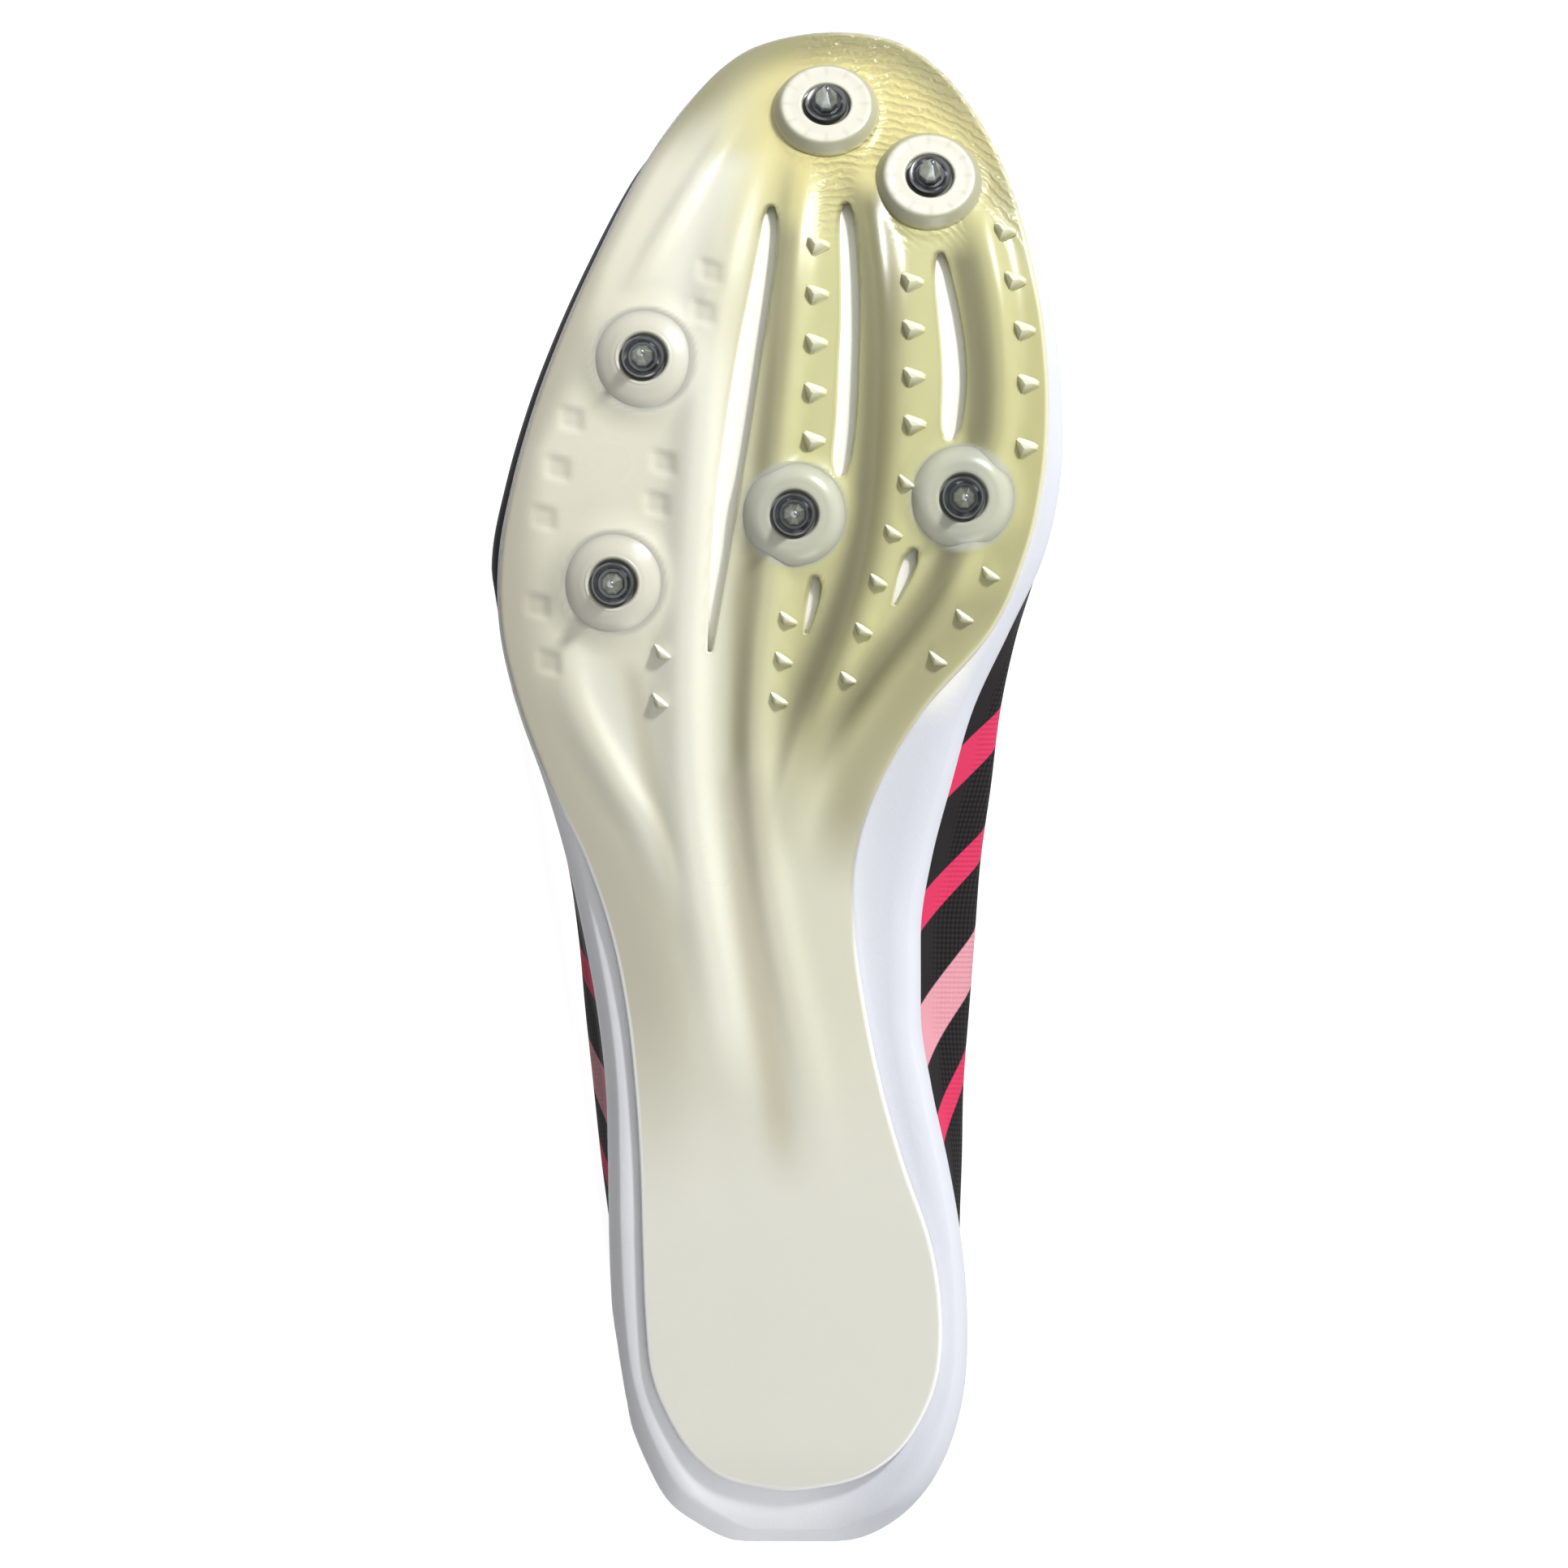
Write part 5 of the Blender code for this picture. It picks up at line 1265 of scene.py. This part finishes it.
def make_upper():
    """The mesh upper with a real wall and its collar overlay."""
    stations = UPPER.stations(215)
    low_shares = np.linspace(0.0, 1.0, 14)
    shares = np.concatenate((np.linspace(0.03, OVERLAY_FROM - 0.006, 30), (OVERLAY_FROM,),
                             np.linspace(OVERLAY_FROM + 0.02, 1.0, 12)))
    collar = np.concatenate((np.zeros(len(low_shares) + 1), shares >= OVERLAY_FROM))
    columns, painted = [], {"film": [], "pink": [], "pale": [], "run": []}
    for side, order in ((LATERAL, stations), (MEDIAL, stations[::-1])):
        at = order[:, None]
        reach = wall_out(side, np.clip(at, 0.012, 0.988), np.clip(shares[None], 0.02, 1.0))
        high = over_wall(side, at, shares[None]) + reach * crease(side, at, shares[None])[..., None]
        wall = np.concatenate((feather(side, order)[:, None], under_wall(side, at, low_shares[None]), high),
                              axis=1)
        columns.append(wall)
        x, rise = wall[..., 0], run_of(wall)
        up = rise / SIDE_HEIGHT
        toe_cap = smooth(0.0, 0.0006, x - (0.905 - 0.055 * up ** 2) * LENGTH)
        counter = smooth(0.0, 0.0006, (0.15 - 0.10 * up) * LENGTH - x)
        skirt = smooth(0.0095, 0.0085, rise)
        painted["film"].append(np.maximum.reduce((toe_cap, counter, collar + 0 * rise, skirt)))
        for colour in ("pink", "pale"):
            painted[colour].append(chevron_distance(colour, side, x / LENGTH, up))
        painted["run"].append(np.stack((x, rise, np.full_like(rise, side)), axis=-1))
    wall = np.concatenate(columns)
    rows, levels = wall.shape[:2]

    # The wall is eased round the toe and the heel, where sections crowd
    ring_at = np.concatenate((stations, stations[::-1]))
    ease = np.maximum(smooth(0.90, 0.95, ring_at), 0.7 * smooth(0.05, 0.02, ring_at))[:, None]
    ease = (ease * smooth(5, 18, np.arange(levels)))[..., None]
    for _ in range(EASING_ROUNDS):
        middle = (np.roll(wall, 1, axis=0) + np.roll(wall, -1, axis=0)) / 2
        wall = wall + 0.5 * ease * (middle - wall)

    faces = grid_faces(rows + 1, levels) % (rows * levels)
    upper = add_mesh("mesh_upper", wall, faces, turn_out=False)
    raised = upper.vertex_groups.new(name="overlay")
    raised.add([c * levels + k for c in range(rows) for k in np.nonzero(collar)[0].tolist()],
               1.0, "REPLACE")
    for name, values in painted.items():
        values = np.concatenate(values)
        paint(upper, name, values.reshape(-1, 3) if name == "run" else values.ravel(),
              "FLOAT_VECTOR" if name == "run" else "FLOAT")
    if faces_turn(upper) < 0:
        upper.data.flip_normals()
    shell = upper.modifiers.new("wall", "SOLIDIFY")
    shell.thickness = WALL + OVERLAY
    shell.offset = 1.0
    shell.use_quality_normals = True
    shell.vertex_group = raised.name
    shell.thickness_vertex_group = WALL / (WALL + OVERLAY)
    settle(upper)
    layers = locations(upper.data).reshape(2, -1, 3)
    inner = np.linalg.norm(layers - pressed(wall.reshape(-1, 3)), axis=-1) < 0.0002
    paint(upper, "lining", inner.ravel())
    upper.data.shade_smooth()
    upper.data.set_sharp_from_angle(angle=pi / 4)
    upper.data.materials.append(upper_cloth())
    return lay(upper, "upper_mesh", "upper")


def faces_turn(upper):
    """Positive where the sheet's faces point out of the shoe."""
    turns = 0.0
    for face in list(upper.data.polygons)[::97]:
        out = Vector((0.0, face.center.y - 0.001, face.center.z - 0.035))
        turns += face.normal.dot(out)
    return turns


def make_insole():
    """A thin cloth-covered insole with a soft edge."""
    inset = FOAM_TOP_INSET + UPPER_INSET + WALL + INSOLE_CLEARANCE
    at = FOAM.stations(110)
    left, right = [], []
    for level, tuck in ((GAP, 0.0004), (GAP + 0.0012, 0.0), (INSOLE_THICKNESS * 0.75, 0.0001),
                        (INSOLE_THICKNESS + GAP * 0.6, 0.0006)):
        for column, side in ((left, LATERAL), (right, MEDIAL)):
            x, y = outline_point(FOAM, side, at, inset + tuck)
            column.append(spots(x, y, footbed(x) + level))
    top = between(left[-1], right[-1], 16)
    for k, spot in enumerate(top, 1):
        bowl = 0.0005 * (1 - (k / 8 - 1) ** 2)
        spot[:, 2] += GAP * 0.4 - bowl
    under = between(right[0], left[0], 6)
    insole = loft("cloth_insole", np.array([*left, *top, *right[::-1], *under]).transpose(1, 0, 2))
    paint(insole, "run", locations(insole.data), "FLOAT_VECTOR")
    insole.data.materials.append(
        cloth("insole_cloth", (0.030, 0.030, 0.034), (0.085, 0.085, 0.095), 3600.0))
    return lay(insole, "insole_cloth", "insole")


def tongue_rows():
    """Middle, half width and seat of the tongue's sections, from the throat's edge."""
    corner = throat_edge(LATERAL, 0.43 * LENGTH)
    for at in np.concatenate((np.linspace(0.345, 0.40, 26), np.linspace(0.405, 0.73, 70))):
        x = at * LENGTH
        near = max(min(x, float(UPPER("top_at", 1.0)) * LENGTH), corner[0])
        edges = [throat_edge(side, near) for side in (LATERAL, MEDIAL)]
        middle = (edges[0][1] + edges[1][1]) / 2
        reach = abs(edges[1][1] - edges[0][1]) / 2
        rise = INSTEP_HEIGHT * float(TONGUE("rise", at) - TONGUE("drop", at))
        seat = edges[0][2] - TONGUE_CLEARANCE + rise
        bow = min(reach, TONGUE_BOW_REACH) ** 2 / (2 * TONGUE_RADIUS)
        yield x, middle, float(TONGUE("half", at)) * BALL_WIDTH, seat + bow


def make_tongue():
    """A thin bowed mesh tongue with rounded edges."""
    rings = []
    shares = np.sin(np.linspace(-pi / 2, pi / 2, 25))
    for x, middle, half, seat in tongue_rows():
        y = shares * half
        body = TONGUE_THICKNESS / 2 * (1 - np.abs(shares) ** 7) ** 0.5
        line = seat - TONGUE_THICKNESS / 2 - y * y / (2 * TONGUE_RADIUS)
        rings.append(np.concatenate((spots(x, middle + y, line + body)[:-1],
                                     spots(x, middle + y, line - body)[::-1][:-1])))
    tongue = loft("mesh_tongue", np.array(rings))
    paint(tongue, "run", locations(tongue.data), "FLOAT_VECTOR")
    tongue.data.materials.append(cloth("tongue_mesh", (0.012, 0.011, 0.012), (0.060, 0.056, 0.060), 4200.0))
    return lay(tongue, "tongue_mesh", "tongue")


def ribbon(points, ups, widths):
    """A flat braided strip through points; its edges are round."""
    ahead = unit(np.gradient(points, axis=0))
    across = unit(np.cross(ups, ahead))
    lift = unit(np.cross(ahead, across))
    angles = np.arange(LACE_SIDES) * 2 * pi / LACE_SIDES
    wide, high = (np.sign(wave) * np.abs(wave) ** 0.7 for wave in (np.cos(angles), np.sin(angles)))
    return (points[:, None] + across[:, None] * (widths / 2)[:, None, None] * wide[None, :, None]
            + lift[:, None] * LACE_THICKNESS / 2 * high[None, :, None])


def lace_route(first_side, first_at, last_at, layer):
    """A strand's points and the way each one faces, from eyelet to eyelet across the throat."""
    face = WALL + OVERLAY
    height = face + LACE_CLEARANCE + LACE_THICKNESS / 2 + layer * LACE_LAYER
    route, ups = [], []
    for side, at, order in ((first_side, first_at, 1), (-first_side, last_at, -1)):
        eyelet, edge = (over_wall(side, at, share) for share in (EYELET_SHARE, THROAT_SHARE))
        out, edge_out = (wall_out(side, at, share) for share in (EYELET_SHARE, THROAT_SHARE))
        inward = unit(edge - eyelet)
        half = [(eyelet - out * 0.0012, inward),
                (eyelet + out * (face * 0.6) + inward * 0.0002, inward + out * 0.3),
                (eyelet + out * height + inward * 0.0016, out),
                (edge + edge_out * height, edge_out)]
        for spot, up in half[::order]:
            route.append(spot)
            ups.append(up)
    return through(route, 7), unit(through(ups, 7))


def make_lace():
    """The lace across the throat; its strands end in the wall inside the eyelet rings."""
    strands = [(LATERAL, EYELET_STATIONS[-1], EYELET_STATIONS[-1], 2)]
    for first, last in zip(EYELET_STATIONS, EYELET_STATIONS[1:]):
        strands += [(LATERAL, first, last, 0), (MEDIAL, first, last, 1)]
    shapes, runs = [], []
    for strand in strands:
        points, ups = lace_route(*strand)
        share = np.linspace(0, 1, len(points))
        widths = LACE_WIDTH * (0.62 + 0.38 * smooth(0.10, 0.34, np.minimum(share, 1 - share)))
        shapes.append(loft("lace", ribbon(points, ups, widths)))
        around = np.arange(LACE_SIDES) / LACE_SIDES * 0.012
        runs.append(spots(run_of(points)[:, None], around, 0.0).reshape(-1, 3))
    lace = join(*shapes)
    lace.name = "flat_lace"
    paint(lace, "run", np.concatenate(runs), "FLOAT_VECTOR")
    lace.data.materials.append(
        cloth("lace_cloth", (0.012, 0.012, 0.012), (0.075, 0.070, 0.073), 5200.0, 0.0002))
    return lay(lace, "lace_cloth", "lace")


def make_eyelets():
    """Black thread rings round the places where the lace goes down."""
    yarn = thread("eyelet_thread", (0.030, 0.028, 0.030))
    angles = np.arange(20) * 2 * pi / 20
    rings = []
    for turn in np.arange(8) * 2 * pi / 8:
        radius = EYELET_RADIUS + 0.0005 + 0.0005 * cos(turn)
        rings.append(spots(radius * np.cos(angles), radius * np.sin(angles), 0.0004 * sin(turn) + 0.0003))
    faces = grid_faces(len(rings) + 1, len(angles), around=True) % (len(rings) * len(angles))
    for k, at in enumerate(EYELET_STATIONS):
        for side, side_name in ((LATERAL, "lateral"), (MEDIAL, "medial")):
            out = wall_out(side, at, EYELET_SHARE)
            toe = unit(np.array((1.0, 0.0, 0.0)) - out * out[0])
            place = Matrix((toe, np.cross(out, toe), out)).transposed().to_4x4()
            place.translation = Vector(
                over_wall(side, at, EYELET_SHARE) + out * (WALL + OVERLAY - 0.0004))
            ring = add_mesh("eyelet_%d_%s" % (k + 1, side_name), placed(np.array(rings), place), faces)
            ring.data.materials.append(yarn)
            lay(ring, "upper_mesh")


def make_stitches():
    """Rows of stitches along the collar overlay and the throat."""
    points, faces = [], []
    turns = np.arange(6) * 2 * pi / 6
    at = np.linspace(0.03, 0.975, 900)
    for side in (LATERAL, MEDIAL):
        for share in (OVERLAY_FROM + 0.025, 0.965):
            line = over_wall(side, at, share) + wall_out(side, np.clip(at, 0.012, 0.98), share) * (
                WALL + OVERLAY + STITCH_RADIUS * 0.35)
            far = run_of(line)
            for start in np.arange(0.001, far[-1] - STITCH_PITCH, STITCH_PITCH):
                first, last = (np.array([np.interp(spot, far, column) for column in line.T])
                               for spot in (start, start + STITCH_LENGTH))
                middle = float(np.interp(start, far, at))
                out = wall_out(side, np.clip(middle, 0.012, 0.98), share)
                across = np.cross(unit(last - first), out)
                base = len(points)
                for place, size in ((0.0, 0.3), (0.12, 1.0), (0.88, 1.0), (1.0, 0.3)):
                    core = first + (last - first) * place - out * (1 - size) * STITCH_RADIUS
                    points += [core + STITCH_RADIUS * size * (across * cos(turn) + out * sin(turn))
                               for turn in turns]
                faces += grid_faces(4, 6, around=True, start=base).tolist()
                faces += [list(range(base, base + 6))[::-1], list(range(base + 18, base + 24))]
    stitches = add_mesh("collar_stitches", pressed(np.array(points)), faces)
    stitches.data.materials.append(thread("stitch_thread", (0.11, 0.10, 0.105)))
    return lay(stitches, "upper_mesh")


def make_stage():
    """A pale floor, a bright wall of sky behind the shoe and soft studio lights."""
    bpy.ops.mesh.primitive_plane_add(size=80.0, location=(0.0, 0.0, -0.00005))
    floor = bpy.context.object
    floor.name = "studio_floor"
    made = material("floor_paint", Base_Color=(0.45, 0.45, 0.45), Roughness=0.9, Specular_IOR_Level=0.0,
                    Emission_Color=(1.0, 1.0, 1.0), Emission_Strength=0.96)[0]
    floor.data.materials.append(made)
    floor.visible_diffuse = False

    world = bpy.data.worlds.new("studio")
    bpy.context.scene.world = world
    world.use_nodes = True
    tree = world.node_tree
    where = add(tree, "TexCoord").outputs["Generated"]
    parts = add(tree, "SeparateXYZ", {"Vector": where}).outputs
    sky = spread(tree, parts["Z"], 0.18, 0.58, -0.7, 0.9)
    toe_side = spread(tree, parts["X"], 1.30, 0.70, -1.0, 1.0)
    behind = spread(tree, parts["Y"], 0.0, 1.05, 0.75, 0.97)
    background = tree.nodes["Background"]
    feed(tree, background, Strength=calc(tree, "MAXIMUM", times(tree, sky, toe_side), behind))
    background.inputs["Color"].default_value = (1.0, 1.0, 1.0, 1.0)

    target = SHOE @ Vector((LENGTH / 2, 0.0, 0.01))
    for name, place, size, power in (("key", (-0.95, -0.85, 1.05), 0.18, 25.0),
                                     ("top", (0.10, -0.35, 1.30), 1.0, 1.2),
                                     ("low_fill", (1.20, -0.45, 0.15), 0.8, 8.0)):
        lamp = bpy.data.lights.new(name, "AREA")
        lamp.size = size
        lamp.energy = power
        item = add_object(name, lamp)
        item.location = target + Vector(place)
        item.rotation_euler = (-Vector(place)).to_track_quat("-Z", "Y").to_euler()


def make_camera():
    """Looks straight at the sole, the toe at the top of the picture."""
    distance = 3.0
    half_frame = 0.1443
    middle = (0.13995, 0.00015)
    camera = bpy.data.cameras.new("camera")
    camera.sensor_width = 36.0
    camera.lens = camera.sensor_width / 2 * distance / half_frame
    camera.clip_start, camera.clip_end = 0.1, 30.0
    item = add_object("camera", camera)
    axes = Matrix(((0, 1, 0), (1, 0, 0), (0, 0, -1))).to_4x4()
    axes.translation = (middle[0], middle[1], -distance)
    item.matrix_world = SHOE @ axes
    bpy.context.scene.camera = item
    bpy.context.scene.view_settings.view_transform = "Standard"


make_camera()
make_stage()
make_plate()
make_pins()
make_midsole()
make_upper()
make_insole()
make_tongue()
make_lace()
make_eyelets()
make_stitches()
